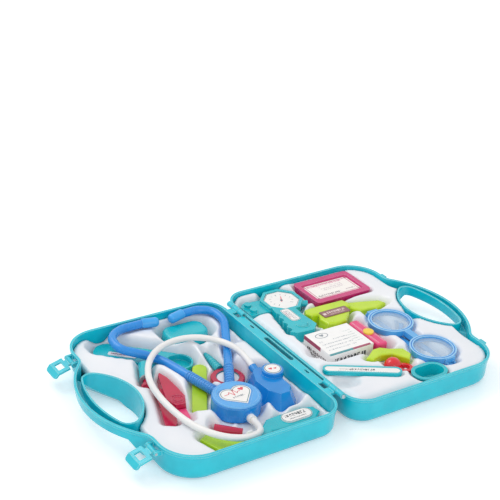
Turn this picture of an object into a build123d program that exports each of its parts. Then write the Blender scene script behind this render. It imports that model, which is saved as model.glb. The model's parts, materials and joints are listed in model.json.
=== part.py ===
"""Toy doctor case, opened flat: two moulded half shells with half a handle each, hinged along one
side, with vacuum-formed trays and a set of toy instruments. Millimetres. The hinge runs along Y
above the origin, the base half lies on the +X side, the lid half on the -X side, the floor is z = 0."""

import os
from math import cos, pi, radians, sin, sqrt, tan

from build123d import *

# ---- case ----
CASE_WIDTH = 280.0          # along the hinge
CASE_REACH = 222.0          # hinge line to the straight shoulder
HALF_DEPTH = 32.0           # one half, floor to parting plane
PARTING_GAP = 0.3           # between the closed rims
WALL = 2.0
LIP = 1.0                   # how far the rim bead stands out
LIP_HEIGHT = 3.0
DRAFT = 2.0                 # degrees
SHOULDER_RADIUS = 42.0
HINGE_CORNER_RADIUS = 28.0
BOTTOM_RADIUS = 8.0

# ---- carrying handle ----
HANDLE_RISE = 33.5          # crown above the shoulder
HANDLE_SHOULDER = 16.0      # flat shoulder between the corner and the handle's root
HANDLE_FILLET = 16.0
HANDLE_DEPTH = 14.0         # half of the grip, measured down from the parting plane
HANDLE_EDGE = 3.0           # rounding of the grip
GRIP_WIDTH = 12.5
FINGER_DEPTH = 49.0         # finger opening, across
FINGER_CROWN = 13.0         # how much of that the crown's arc rises
FINGER_END = 24.0           # from the handle's root to the opening's end
FINGER_TIP_RADIUS = 11.0
RELIEF_START = 30.0         # half width where the sloping underside begins
RELIEF_LEAN = 26.0 / 48.0   # how fast its lower edge climbs
RELIEF_SLOPE = 45.0         # degrees

# ---- hinge ----
BASE_HINGE_GAP = 2.5        # hinge line to each half's rim
LID_HINGE_GAP = 10.0
PIN_RADIUS = 1.5
PIN_CLEARANCE = 0.05
PIN_HEAD = 0.9
PIN_HEAD_LENGTH = 1.2
KNUCKLE_RADIUS = 3.6
KNUCKLE_LENGTH = 11.0
KNUCKLE_GAP = 0.5
KNUCKLE_ROOM = 0.6
HINGE_PLACE = 101.0         # middle of each hinge along Y
FLANGE = 2.4                # thickness of the strip along the lid's hinge edge
FLANGE_SETBACK = 1.0
LONG_SLOT = 58.0
LONG_SLOT_WIDTH = 6.0
SHORT_SLOT = 9.0
SHORT_SLOT_WIDTH = 3.0
SHORT_SLOT_PLACE = 57.0

# ---- latches ----
LATCH_PLACE = 96.0
LATCH_PIVOT_OUT = 4.5       # pivot beyond the shoulder
LATCH_PIVOT_DROP = 7.0      # pivot below the parting plane
LATCH_HOLD = 13.5           # pivot to the middle of the window
LATCH_BARREL = 3.0
LATCH_BARREL_LENGTH = 13.0
LATCH_LUG = 3.0
LATCH_STRAP = 2.4
LATCH_WIDTH = 24.0
LATCH_NECK = 5.5            # pivot to the start of the full width
LATCH_LENGTH = 20.5         # pivot to the bend of the finger tab
LATCH_TAB = 7.0
LATCH_TAB_BEND = 35.0       # degrees
LATCH_WINDOW = (8.0, 13.0)  # along and across the strap
LATCH_CORNER = 4.0
LATCH_DROOP = 16.0          # degrees below level at rest
CATCH_WIDTH = 9.0
CATCH_HEIGHT = 5.0
CATCH_REACH = 4.0           # beyond the latch pivot's line

# ---- lid label ----
LABEL_WIDTH = 231.0
LABEL_HEIGHT = 161.0
LABEL_FOOT = 20.0           # hinge line to the label's near edge
LABEL_CORNER = 8.0
LABEL_RECESS = 0.8
LABEL_CARD = 0.5
LABEL_ROOM = 0.3            # round the card

# ---- trays ----
TRAY_WALL = 1.0
TRAY_ROOM = 0.5             # to the shell all round
TRAY_SEAT = 0.3             # under the deepest wells
LID_TRAY_DROP = 7.0         # tray top below the parting plane
BASE_TRAY_DROP = 3.5
TRAY_SKIRT = 10.0           # height where the outer wall ends
WELL_DRAFT = 6.0            # degrees
WELL_MARGIN = 2.0
TOOL_SEAT = 0.3             # under each instrument

# ---- derived planes ----
RIM = HALF_DEPTH - PARTING_GAP / 2
DRAFT_INSET = HALF_DEPTH * tan(radians(DRAFT))
GRIP_UNDERSIDE = HALF_DEPTH - HANDLE_DEPTH
HANDLE_TOP = CASE_REACH + HANDLE_RISE
HANDLE_HALF = CASE_WIDTH / 2 - SHOULDER_RADIUS - HANDLE_SHOULDER
FINGER_TOP = HANDLE_TOP - GRIP_WIDTH
FINGER_BOTTOM = FINGER_TOP - FINGER_DEPTH
LATCH_X = CASE_REACH + LATCH_PIVOT_OUT
LATCH_Z = HALF_DEPTH - LATCH_PIVOT_DROP
DEEP_SEAT = WALL + TRAY_SEAT + TRAY_WALL + TOOL_SEAT


# ---- shared shapes ----
def arc_radius(half_chord, rise):
    """Radius of the arc that rises this far over this half chord."""
    return (half_chord**2 + rise**2) / (2 * rise)


def outline(*points):
    """Straight-sided outline, made to run counter-clockwise."""
    turns = sum(a[0] * b[1] - b[0] * a[1] for a, b in zip(points, points[1:] + points[:1]))
    return Polygon(*(points if turns > 0 else points[::-1]), align=None)


def prism(sketch, low, high, draft=0.0):
    """Prism of an outline between two heights, narrowing upwards by draft degrees."""
    return Pos(0, 0, low) * extrude(sketch, amount=high - low, taper=draft)


def rod(start, end, radius, end_radius=None):
    """Round bar between two points, tapered when it has an end radius."""
    run = Vector(*end) - Vector(*start)
    along = Plane(origin=start, z_dir=run)
    if end_radius is None:
        return extrude(along * Circle(radius), amount=run.length)
    return along * Pos(0, 0, run.length / 2) * Cone(radius, end_radius, run.length)


def bar_plan(start, end, width):
    """Plan of a bar with round ends, from end to end."""
    (ax, ay), (bx, by) = start, end
    run = Vector(bx - ax, by - ay)
    turn = Vector(1, 0).get_signed_angle(run, Vector(0, 0, 1))
    place = Pos((ax + bx) / 2, (ay + by) / 2) * Rot(0, 0, turn)
    return place * SlotCenterToCenter(run.length, width)


def box_plan(middle, size, corner, turn=0.0):
    """Plan of a rounded rectangle."""
    return Pos(*middle) * Rot(0, 0, turn) * RectangleRounded(*size, corner)


def top_edges(solid):
    return solid.faces().sort_by(Axis.Z)[-1].edges()


def bottom_edges(solid):
    return solid.faces().sort_by(Axis.Z)[0].edges()


def route_radii(points, share=0.45):
    """The largest arc that each corner of a route takes, and its turn in degrees."""
    corners = [Vector(*p) for p in points]
    radii, turns = [], []
    for before, here, after in zip(corners, corners[1:], corners[2:]):
        turn = (here - before).get_angle(after - here)
        shorter = min((here - before).length, (after - here).length)
        radii.append(share * shorter / tan(radians(turn / 2)))
        turns.append(turn)
    return radii, turns


def tube(points, radius):
    """Round tube along a route of straight runs joined by tangent arcs."""
    radii, _ = route_radii(points)
    path = FilletPolyline(*points, radius=radii)
    section = Plane(origin=path @ 0, z_dir=path % 0) * Circle(radius)
    return sweep(section, path=path)


def to_lid(solid):
    """The same piece on the lid's side of the hinge."""
    return mirror(solid, about=Plane.YZ)


# ---- case halves, drawn on the base's side ----
def case_plan(hinge_gap, grow=0.0, handle=True):
    """Plan of one half, with or without the hump that carries the handle."""
    near, far = hinge_gap - grow, CASE_REACH + grow
    half_width = CASE_WIDTH / 2 + grow
    plan = Pos((near + far) / 2, 0) * Rectangle(far - near, 2 * half_width)
    plan = fillet(plan.vertices().group_by(Axis.X)[0], HINGE_CORNER_RADIUS + grow)
    plan = fillet(plan.vertices().group_by(Axis.X)[-1], SHOULDER_RADIUS + grow)
    if not handle:
        return plan
    radius = arc_radius(HANDLE_HALF, HANDLE_RISE)
    plan += Pos(HANDLE_TOP - radius, 0) * Circle(radius + grow)
    inner = half_width - SHOULDER_RADIUS - grow - 1
    roots = [v for v in plan.vertices() if abs(v.X - far) < 0.01 and abs(v.Y) < inner]
    return fillet(roots, HANDLE_FILLET - grow)


def finger_plan(grow=0.0):
    """Lens-shaped finger opening between the handle and the body."""
    crown_radius = arc_radius(HANDLE_HALF - FINGER_END, FINGER_CROWN)
    floor_radius = arc_radius(HANDLE_HALF - FINGER_END, FINGER_DEPTH - FINGER_CROWN)
    crown = Pos(FINGER_TOP - crown_radius, 0) * Circle(crown_radius + grow)
    floor = Pos(FINGER_BOTTOM + floor_radius, 0) * Circle(floor_radius + grow)
    lens = crown & floor
    return fillet(lens.vertices(), FINGER_TIP_RADIUS + grow)


def handle_relief(grow=0.0):
    """Space under the grip, with sloping faces down to the outer face at both ends."""
    half_width, reach = CASE_WIDTH / 2 + grow, 1.5 * CASE_REACH
    foot = FINGER_BOTTOM + WALL
    climb = foot + RELIEF_LEAN * (half_width - RELIEF_START)
    plan = outline(
        (foot, -RELIEF_START), (climb, -half_width), (reach, -half_width),
        (reach, half_width), (climb, half_width), (foot, RELIEF_START),
    )
    if grow:
        plan = offset(plan, amount=grow * sqrt(2), kind=Kind.INTERSECTION)
    return prism(plan, 0, GRIP_UNDERSIDE + grow, RELIEF_SLOPE)


def half_shell(hinge_gap):
    """Open tub with half of the handle, its rim bead and the finger opening."""
    foot = -LIP - DRAFT_INSET
    body = prism(case_plan(hinge_gap, foot), 0, RIM, -DRAFT)
    body = fillet(bottom_edges(body), BOTTOM_RADIUS)
    body -= prism(finger_plan(), -1, RIM + 1)
    body -= handle_relief()
    grip = [
        e for e in body.edges().filter_by(GeomType.CIRCLE)
        if abs(e.center().Z - GRIP_UNDERSIDE) < 0.1 and e.length > CASE_WIDTH / 4
    ]
    body = fillet(grip, HANDLE_EDGE)
    body += prism(case_plan(hinge_gap) - finger_plan(), RIM - LIP_HEIGHT, RIM)
    hollow = prism(case_plan(hinge_gap, foot - WALL), WALL, RIM + 1, -DRAFT)
    hollow = fillet(bottom_edges(hollow), BOTTOM_RADIUS - WALL)
    hollow -= prism(finger_plan(WALL), 0, RIM + 2)
    return body - (hollow - handle_relief(WALL))


def knuckle(y_low, y_high):
    """Hinge barrel on the hinge line."""
    return rod((0, y_low, HALF_DEPTH), (0, y_high, HALF_DEPTH), KNUCKLE_RADIUS)


def hinge_spans(side):
    """Where the two base knuckles and the lid knuckle of one hinge lie along Y."""
    middle, pitch = side * HINGE_PLACE, KNUCKLE_LENGTH + KNUCKLE_GAP
    centres = (middle - pitch, middle, middle + pitch)
    return [(y - KNUCKLE_LENGTH / 2, y + KNUCKLE_LENGTH / 2) for y in centres]


def hinge_room(low, high):
    """Cylinder cut from a half to clear the other half's knuckles."""
    y_low, y_high = low - KNUCKLE_GAP, high + KNUCKLE_GAP
    room = KNUCKLE_RADIUS + KNUCKLE_ROOM
    return rod((0, y_low, HALF_DEPTH), (0, y_high, HALF_DEPTH), room)


def pin_bore(side):
    spans = hinge_spans(side)
    ends = (0, spans[0][0] - 1, HALF_DEPTH), (0, spans[-1][1] + 1, HALF_DEPTH)
    return rod(*ends, PIN_RADIUS + PIN_CLEARANCE)


def web(x_low, x_high, y_low, y_high, z_low, z_high):
    """Plain block between two corners."""
    middle = ((x_low + x_high) / 2, (y_low + y_high) / 2, (z_low + z_high) / 2)
    return Pos(*middle) * Box(x_high - x_low, y_high - y_low, z_high - z_low)


def base_shell():
    shell = half_shell(BASE_HINGE_GAP)
    inner = BASE_HINGE_GAP + LIP + WALL
    for side in (-1, 1):
        first, middle, last = hinge_spans(side)
        shell -= hinge_room(*middle)
        for low, high in (first, last):
            shell += knuckle(low, high)
            shell += web(0, inner, low, high, HALF_DEPTH - KNUCKLE_RADIUS, RIM)
        shell -= pin_bore(side)
        shell += catch(side)
    return shell


def catch(side):
    """Wedge on the shoulder that a latch window drops over."""
    top = HALF_DEPTH + LATCH_PIVOT_DROP - LATCH_HOLD + CATCH_HEIGHT / 2
    tip = LATCH_X + CATCH_REACH
    root = CASE_REACH - LIP - WALL
    profile = Plane.XZ.offset(-side * LATCH_PLACE - CATCH_WIDTH / 2) * outline(
        (root, top - CATCH_HEIGHT), (tip - 1.5, top - CATCH_HEIGHT + 1), (tip, top - 1),
        (tip - 0.5, top), (root, top),
    )
    return extrude(profile, amount=CATCH_WIDTH)


def lid_shell():
    shell = half_shell(LID_HINGE_GAP)
    inner = LID_HINGE_GAP + LIP + WALL
    strip_half = CASE_WIDTH / 2 - HINGE_CORNER_RADIUS
    shell += web(FLANGE_SETBACK, LID_HINGE_GAP + LIP, -strip_half, strip_half, RIM - FLANGE, RIM)
    slot_x = (FLANGE_SETBACK + LID_HINGE_GAP) / 2
    slots = Pos(slot_x, 0) * Rot(0, 0, 90) * SlotOverall(LONG_SLOT, LONG_SLOT_WIDTH)
    for side in (-1, 1):
        short = Rot(0, 0, 90) * SlotOverall(SHORT_SLOT, SHORT_SLOT_WIDTH)
        slots += Pos(slot_x, side * SHORT_SLOT_PLACE) * short
    shell -= prism(slots, RIM - 2 * FLANGE, RIM + 1)
    for side in (-1, 1):
        spans = hinge_spans(side)
        low, high = spans[0][0] - KNUCKLE_GAP, spans[-1][1] + KNUCKLE_GAP
        shell -= web(-1, LID_HINGE_GAP - 0.5, low, high, RIM - 2 * FLANGE, RIM + 1)
        low, high = spans[1]
        shell += knuckle(low, high)
        shell += web(0, inner, low, high, HALF_DEPTH - KNUCKLE_RADIUS, RIM)
        shell -= pin_bore(side)
        shell += latch_lugs(side)
    shell -= prism(label_plan(LABEL_ROOM), -1, LABEL_RECESS)
    return to_lid(shell)


def latch_lugs(side):
    """Two ears on the shoulder that carry a latch, bored for its pin."""
    ears = None
    for end in (-1, 1):
        near = side * LATCH_PLACE + end * (LATCH_BARREL_LENGTH / 2 + KNUCKLE_GAP)
        far = near + end * LATCH_LUG
        low, high = min(near, far), max(near, far)
        ear = rod((LATCH_X, low, LATCH_Z), (LATCH_X, high, LATCH_Z), LATCH_BARREL)
        root = CASE_REACH - LIP - WALL
        ear += web(root, LATCH_X, low, high, LATCH_Z - LATCH_BARREL, LATCH_Z + LATCH_BARREL)
        ears = ear if ears is None else ears + ear
    return ears - latch_pin(side, PIN_CLEARANCE, 1)


def latch_pin(side, grow=0.0, longer=0.0):
    half = LATCH_BARREL_LENGTH / 2 + KNUCKLE_GAP + LATCH_LUG + longer
    low, high = side * LATCH_PLACE - half, side * LATCH_PLACE + half
    return rod((LATCH_X, low, LATCH_Z), (LATCH_X, high, LATCH_Z), PIN_RADIUS + grow)


def latch_strap(side):
    """Strap on its pivot, level: barrel, neck, window and a bent finger tab."""
    neck = LATCH_BARREL_LENGTH - 2
    plan = Pos(LATCH_NECK / 2, 0) * Rectangle(LATCH_NECK + 4, neck)
    middle = (LATCH_NECK + LATCH_LENGTH) / 2
    plan += Pos(middle, 0) * RectangleRounded(LATCH_LENGTH - LATCH_NECK, LATCH_WIDTH, 1)
    window = Pos(LATCH_HOLD, 0) * RectangleRounded(*LATCH_WINDOW, 1)
    strap = prism(plan - window, -LATCH_STRAP / 2, LATCH_STRAP / 2)
    lap = LATCH_STRAP / 2
    tab_plan = Pos((LATCH_TAB - lap) / 2, 0) * Rectangle(LATCH_TAB + lap, LATCH_WIDTH)
    tab_plan = fillet(tab_plan.vertices().group_by(Axis.X)[-1], LATCH_CORNER)
    tab = prism(tab_plan, -LATCH_STRAP / 2, LATCH_STRAP / 2)
    strap += Pos(LATCH_LENGTH, 0, 0) * Rot(0, LATCH_TAB_BEND, 0) * tab
    half = LATCH_BARREL_LENGTH / 2
    strap += rod((0, -half, 0), (0, half, 0), LATCH_BARREL)
    strap -= rod((0, -half - 1, 0), (0, half + 1, 0), PIN_RADIUS + PIN_CLEARANCE)
    return to_lid(Pos(LATCH_X, side * LATCH_PLACE, LATCH_Z) * Rot(0, LATCH_DROOP, 0) * strap)


def hinge_pins():
    pins = []
    for side in (-1, 1):
        spans = hinge_spans(side)
        low, high = spans[0][0], spans[-1][1]
        start, end = (low, high) if side > 0 else (high, low)
        pin = rod((0, start, HALF_DEPTH), (0, end, HALF_DEPTH), PIN_RADIUS)
        head_end = end + side * PIN_HEAD_LENGTH
        pins.append(pin + rod((0, end, HALF_DEPTH), (0, head_end, HALF_DEPTH), PIN_RADIUS + PIN_HEAD))
    return pins


def label_plan(grow=0.0):
    middle = LABEL_FOOT + LABEL_HEIGHT / 2
    return box_plan((middle, 0), (LABEL_HEIGHT + 2 * grow, LABEL_WIDTH + 2 * grow), LABEL_CORNER)


def lid_label():
    return to_lid(prism(label_plan(), LABEL_RECESS - LABEL_CARD, LABEL_RECESS))


# ---- trays ----
def tray_plan(hinge_gap, grow=0.0):
    inset = LIP + WALL + DRAFT_INSET + TRAY_ROOM
    return case_plan(hinge_gap, grow - inset, handle=False) - finger_plan(WALL + TRAY_ROOM - grow)


def tray(hinge_gap, drop, wells, side):
    """Thin vacuum-formed sheet: a skirted plateau with one drafted well under each instrument."""
    top = HALF_DEPTH - drop
    lowest = DEEP_SEAT - TOOL_SEAT - TRAY_WALL
    upper = prism(tray_plan(hinge_gap), lowest, top)
    lower = prism(tray_plan(hinge_gap, -TRAY_WALL), lowest - 1, top - TRAY_WALL)
    field = tray_plan(hinge_gap, -3 * TRAY_WALL)
    deep_field = tray_plan(hinge_gap, -2 * TRAY_WALL)
    for plan, bottom in wells:
        plan = mirror(plan, about=Plane.YZ) if side < 0 else plan
        floor = bottom - TOOL_SEAT
        upper -= prism(plan & field, floor, top + 1, -WELL_DRAFT)
        grown = offset(plan, amount=TRAY_WALL) & deep_field
        lower -= prism(grown, floor - TRAY_WALL, top + 1, -WELL_DRAFT)
    sheet = upper - lower
    band = tray_plan(hinge_gap, 1) - tray_plan(hinge_gap, -TRAY_WALL)
    sheet -= prism(band, 0, TRAY_SKIRT)
    sheet -= handle_relief(WALL + TRAY_ROOM)
    return to_lid(sheet) if side < 0 else sheet


# ---- stethoscope ----
HUB = (-99.0, -56.0)
HUB_RADIUS = 28.0
HUB_SEAT = 9.0
HUB_HEIGHT = 18.0
HUB_EDGE = 2.5
HUB_CAP_HEIGHT = 2.6
HUB_CAP_STEP = 1.0          # the cap is this much smaller than the drum
HEART_WIDTH = 38.0
HEART_BORDER = 2.5
PLATE = 0.8                 # thickness of printed plates
ARM_RADIUS = 5.2
ARM_SOCKET = (7.2, 9.0)     # radius and length of the sleeve that an arm leaves
ARM_RIB_RADIUS = 6.0
LEFT_RIBS = (13, 3.3)       # count and pitch: a fine comb
RIGHT_RIBS = (8, 5.2)       # a coarse bellows
LEFT_ARM = [
    (-108.5, -27.5, 19.5), (-130.0, 64.0, 19.5), (-167.0, 92.0, 26.5), (-165.5, 116.5, 28.5),
    (-147.5, 128.5, 28.8), (-116.0, 128.5, 28.8),
]
RIGHT_ARM = [
    (-89.5, -27.5, 19.5), (-49.0, 43.0, 19.5), (-22.5, 93.0, 27.0), (-24.0, 116.0, 28.5),
    (-39.0, 128.0, 28.8), (-64.0, 127.0, 28.8),
]
EAR_TIP_LENGTH = 20.0
EAR_TIP_RADIUS = 6.0
EAR_TIP_LAP = 1.5           # the tip's mouth laps the arm's end
LEFT_TIP_END = (-94.5, 123.0, 28.8)
RIGHT_TIP_END = (-84.5, 121.0, 28.8)
HOSE_RADIUS = 3.75
HOSE_PLUG = (5.0, 7.0)      # radius and length
HOSE = [
    (-101.0, -94.0, 18.5), (-103.0, -110.0, 21.0), (-113.0, -124.5, 25.0), (-132.0, -130.0, 28.5),
    (-151.0, -121.0, 29.6), (-165.5, -101.5, 29.8), (-174.0, -76.0, 29.8), (-177.0, -46.0, 29.8),
    (-176.0, -14.0, 29.8), (-169.0, 18.0, 29.8), (-153.0, 47.0, 29.8), (-131.0, 67.0, 29.8),
    (-103.0, 76.0, 29.8), (-77.0, 71.0, 29.8), (-58.5, 54.0, 29.8), (-47.5, 32.0, 29.6),
    (-44.0, 11.0, 25.5), (-45.0, -5.0, 21.0),
]
BELL = (
    (-60, -15), (-52, -5), (-38, -5), (-26, -14), (-22, -36), (-23, -64), (-34, -79),
    (-54, -79), (-66, -62), (-68, -34),
)
BELL_SEAT = DEEP_SEAT
BELL_HEIGHT = 20.0
BELL_SLOPE = 22.0           # degrees
BELL_EDGE = 1.5
BOSS = (-34.0, -30.0)
BOSS_RADIUS = 12.5
BOSS_TOP = 28.5
BADGE_RADIUS = 10.0


def hose_exit(distance):
    """Point this far back from the hose's start, along its first run."""
    start, onward = Vector(*HOSE[0]), Vector(*HOSE[1])
    return tuple(start + (start - onward).normalized() * distance)


def hub_drum():
    """Drum with a sleeve for each arm and the hose's spigot."""
    drum = Pos(*HUB) * Circle(HUB_RADIUS)
    drum = fillet(bottom_edges(prism(drum, HUB_SEAT, HUB_SEAT + HUB_HEIGHT)), HUB_EDGE)
    for arm in (LEFT_ARM, RIGHT_ARM):
        start, onward = Vector(*arm[0]), Vector(*arm[1])
        back = (start - onward).normalized() * (ARM_SOCKET[1])
        drum += rod(tuple(start), tuple(start + back), ARM_SOCKET[0] - 1, ARM_SOCKET[0])
    return drum + rod(hose_exit(HOSE_PLUG[1] + ARM_SOCKET[1]), hose_exit(HOSE_PLUG[1]), HOSE_PLUG[0] + 1)


def heart_plan(width):
    """Heart, its lobes two circles, its point two tangent lines."""
    lobe = 0.29 * width
    lobes = Pos(-width / 2 + lobe, 0) * Circle(lobe) + Pos(width / 2 - lobe, 0) * Circle(lobe)
    side = width / 2 - lobe * (1 - cos(pi / 4))
    drop = lobe * sin(pi / 4)
    point = outline((-side, -drop), (0, -drop - side), (side, -drop), (0, lobe * 0.6))
    return lobes + point


def hub_plate_plan(grow=0.0):
    return Pos(HUB[0], HUB[1] + 3) * Rot(0, 0, 4) * heart_plan(HEART_WIDTH + 2 * grow)


def hub_cap():
    low = HUB_SEAT + HUB_HEIGHT
    cap = prism(Pos(*HUB) * Circle(HUB_RADIUS - HUB_CAP_STEP), low, low + HUB_CAP_HEIGHT)
    cap = chamfer(top_edges(cap), 1)
    return cap - prism(hub_plate_plan(HEART_BORDER), low + HUB_CAP_HEIGHT - PLATE, low + HUB_CAP_HEIGHT + 1)


def hub_plate():
    low = HUB_SEAT + HUB_HEIGHT + HUB_CAP_HEIGHT - PLATE
    return prism(hub_plate_plan(), low, low + PLATE)


def ear_arm(points, ribs):
    """Bent arm whose first stretch carries the ribs of its flexible sleeve."""
    count, pitch = ribs
    arm = tube(points, ARM_RADIUS)
    start, onward = Vector(*points[0]), Vector(*points[1])
    along = (onward - start).normalized()
    for i in range(count):
        low = start + along * (pitch * (i + 0.75))
        arm += rod(tuple(low), tuple(low + along * (pitch / 2)), ARM_RIB_RADIUS)
    return arm


def ear_tip(arm, end):
    """Soft tip that closes an arm, rounded at its far end."""
    start = Vector(*arm[-1])
    along = (Vector(*end) - start).normalized()
    far = start + along * EAR_TIP_LENGTH
    tip = rod(tuple(start - along * EAR_TIP_LAP), tuple(far), EAR_TIP_RADIUS)
    tip -= rod(arm[-2], arm[-1], ARM_RADIUS)
    rim = [e for e in tip.edges().filter_by(GeomType.CIRCLE) if (e.arc_center - far).length < 0.1]
    return fillet(rim, EAR_TIP_RADIUS * 0.8)


def hose_plug():
    return rod(hose_exit(HOSE_PLUG[1]), HOSE[0], HOSE_PLUG[0])


def chest_bell():
    """Faceted bell with the raised boss for its badge and the hose's port."""
    bell = prism(outline(*BELL), BELL_SEAT, BELL_SEAT + BELL_HEIGHT, BELL_SLOPE)
    bell += prism(Pos(*BOSS) * Circle(BOSS_RADIUS), BELL_SEAT, BOSS_TOP)
    end, before = Vector(*HOSE[-1]), Vector(*HOSE[-2])
    inward = (end - before).normalized() * ARM_SOCKET[1]
    return bell + rod(tuple(end), tuple(end + inward), HOSE_PLUG[0])


def chest_badge():
    return prism(Pos(*BOSS) * Circle(BADGE_RADIUS), BOSS_TOP, BOSS_TOP + PLATE)


# ---- instruments in the lid ----
SCOPE_TURN = -43.0
SCOPE_MIDDLE = (-144.3, 87.4)
SCOPE_LENGTH = 106.0
SCOPE_WIDTH = 34.0
SCOPE_CORNER = 15.0
SCOPE_SEAT = 5.0
SCOPE_HEIGHT = 9.0
SCALLOPS = 4
SCALLOP_RADIUS = 7.0
SCALLOP_PITCH = 12.0
SCOPE_CUP_RADIUS = 17.0
SCOPE_CUP_WALL = 2.0
SCOPE_PLATE = (34.0, 7.0)

CUP_MIDDLE = (-71.0, 104.0)
CUP_SIZE = (58.0, 36.0)
CUP_SEAT = DEEP_SEAT
CUP_HEIGHT = 18.0
CUP_WALL = 1.6

SYRINGE_START = (-170.5, 16.0)
SYRINGE_END = (-151.0, 60.0)
SYRINGE_AXIS = 17.0         # height of its axis
BARREL_RADIUS = 7.0
BARREL_BORE = 5.6
BARREL_LENGTH = 30.0
COLLAR_RADIUS = 7.6
COLLAR_LENGTH = 3.0
PLUNGER_RADIUS = 3.6
PLUNGER_THUMB = (6.4, 5.0)  # radius and length
PISTON_CLEARANCE = 0.1
PISTON_LENGTH = 3.0

TWEEZER_LEAF = (
    (-147, 34), (-143, 18), (-143, -4), (-144, -24), (-151, -38), (-164, -36), (-168, -20),
    (-159, 8), (-152, 28),
)
TWEEZER_TAIL = ((-152.4, -38.2), (-164, -36.4), (-166, -52), (-161.5, -65), (-156, -54))
TWEEZER_LEG = ((-168, 4), (-154, 7), (-160, -16), (-174, -58), (-180, -64), (-189, -58), (-177, -26))
TWEEZER_SEAT = 13.0
TWEEZER_HEIGHT = 10.0
TWEEZER_LEG_HEIGHT = 6.0
TWEEZER_THUMB = (-155.5, -25.0)
TWEEZER_RINGS = (8.0, 5.0)  # radii of the thumb grip's raised rings
TWEEZER_RING = (1.0, 0.6)   # width and height of each

STICK_START = (-93.5, 31.5)
STICK_END = (-137.0, -42.0)
STICK_WIDTH = 17.0
STICK_SEAT = 8.5
STICK_HEIGHT = 4.5

MIRROR = (-74.0, 1.0)
MIRROR_RADIUS = 20.0
MIRROR_RING = 6.5
MIRROR_SEAT = 5.0
MIRROR_HEIGHT = 8.0
MIRROR_STALK_END = (-70.0, 58.0)
MIRROR_STALK_RADII = (5.2, 2.4)
MIRROR_RIBS = 6
MIRROR_RIB = 0.6

PROBE = (
    (-112, -125), (-98, -106), (-86, -96), (-40, -94), (-26, -99), (-24, -110), (-36, -119),
    (-80, -119), (-92, -117), (-108, -130),
)
PROBE_SEAT = 4.5
PROBE_HEIGHT = 12.0
PROBE_EDGE = 2.0
PROBE_PLATE_MIDDLE = (-53.0, -106.5)
PROBE_PLATE_SIZE = (38.0, 17.0)
FRONT_SHELF = ((-126, -80), (-70, -80), (-72, -96), (-98, -108), (-118, -104))
FRONT_SHELF_FLOOR = 10.0    # low ground that bares the drum's side

PAD = ((-170, -98), (-158, -92), (-118, -116), (-122, -130), (-160, -131))
PAD_SEAT = 11.0
PAD_HEIGHT = 9.0

DROPPER_START = (-143.0, -82.0)
DROPPER_END = (-119.0, -101.0)
DROPPER_RADIUS = 6.5
DROPPER_AXIS = 13.0


def scope_frame():
    return Pos(*SCOPE_MIDDLE) * Rot(0, 0, SCOPE_TURN)


def scope_plan():
    """Long plate with finger scallops along one edge and a round head."""
    plate = RectangleRounded(SCOPE_LENGTH, SCOPE_WIDTH, SCOPE_CORNER)
    first = -(SCALLOPS - 1) * SCALLOP_PITCH / 2 - SCOPE_LENGTH / 6
    for i in range(SCALLOPS):
        place = first + i * SCALLOP_PITCH
        plate -= Pos(place, -SCOPE_WIDTH / 2 - SCALLOP_RADIUS * 0.6) * Circle(SCALLOP_RADIUS)
    return plate + Pos(SCOPE_LENGTH / 2 - 4, 0) * Circle(SCOPE_CUP_RADIUS)


def scope_body():
    body = prism(scope_plan(), SCOPE_SEAT, SCOPE_SEAT + SCOPE_HEIGHT)
    bowl = Pos(SCOPE_LENGTH / 2 - 4, 0) * Circle(SCOPE_CUP_RADIUS - SCOPE_CUP_WALL)
    body -= prism(bowl, SCOPE_SEAT + SCOPE_CUP_WALL, SCOPE_SEAT + SCOPE_HEIGHT + 1)
    return scope_frame() * body


def scope_plate():
    plate = Pos(-SCOPE_LENGTH / 6, -SCOPE_WIDTH / 8) * RectangleRounded(*SCOPE_PLATE, 2)
    low = SCOPE_SEAT + SCOPE_HEIGHT
    return scope_frame() * prism(plate, low, low + PLATE)


def cup_plan(inset=0.0):
    return box_plan(CUP_MIDDLE, (CUP_SIZE[0] - 2 * inset, CUP_SIZE[1] - 2 * inset), 14 - inset)


def medicine_cup():
    """Oval cup lying mouth down, so its closed end shows."""
    cup = prism(cup_plan(), CUP_SEAT, CUP_SEAT + CUP_HEIGHT, 6)
    cup = fillet(top_edges(cup), 4)
    return cup - prism(cup_plan(CUP_WALL), CUP_SEAT - 1, CUP_SEAT + CUP_HEIGHT - CUP_WALL, 6)


def syringe_point(distance, height=SYRINGE_AXIS):
    """Point on the syringe's axis, measured from its thumb end."""
    run = Vector(*SYRINGE_END) - Vector(*SYRINGE_START)
    spot = Vector(*SYRINGE_START) + run.normalized() * distance
    return (spot.X, spot.Y, height)


def syringe_length():
    return (Vector(*SYRINGE_END) - Vector(*SYRINGE_START)).length


def syringe_barrel():
    far = syringe_length()
    near = far - BARREL_LENGTH
    barrel = rod(syringe_point(near), syringe_point(far), BARREL_RADIUS)
    return barrel - rod(syringe_point(near - 1), syringe_point(far - 2), BARREL_BORE)


def syringe_collar():
    near = syringe_length() - BARREL_LENGTH
    collar = rod(syringe_point(near - COLLAR_LENGTH), syringe_point(near), COLLAR_RADIUS)
    bore = rod(syringe_point(near - COLLAR_LENGTH - 1), syringe_point(near + 1), PLUNGER_RADIUS + 0.3)
    return collar - bore


def syringe_plunger():
    near = syringe_length() - BARREL_LENGTH
    rod_end = near + 0.5 + PISTON_LENGTH
    plunger = rod(syringe_point(0), syringe_point(rod_end), PLUNGER_RADIUS)
    plunger += rod(syringe_point(0), syringe_point(PLUNGER_THUMB[1]), PLUNGER_THUMB[0])
    piston = rod(syringe_point(near + 0.5), syringe_point(rod_end), BARREL_BORE - PISTON_CLEARANCE)
    return plunger + piston


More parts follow.
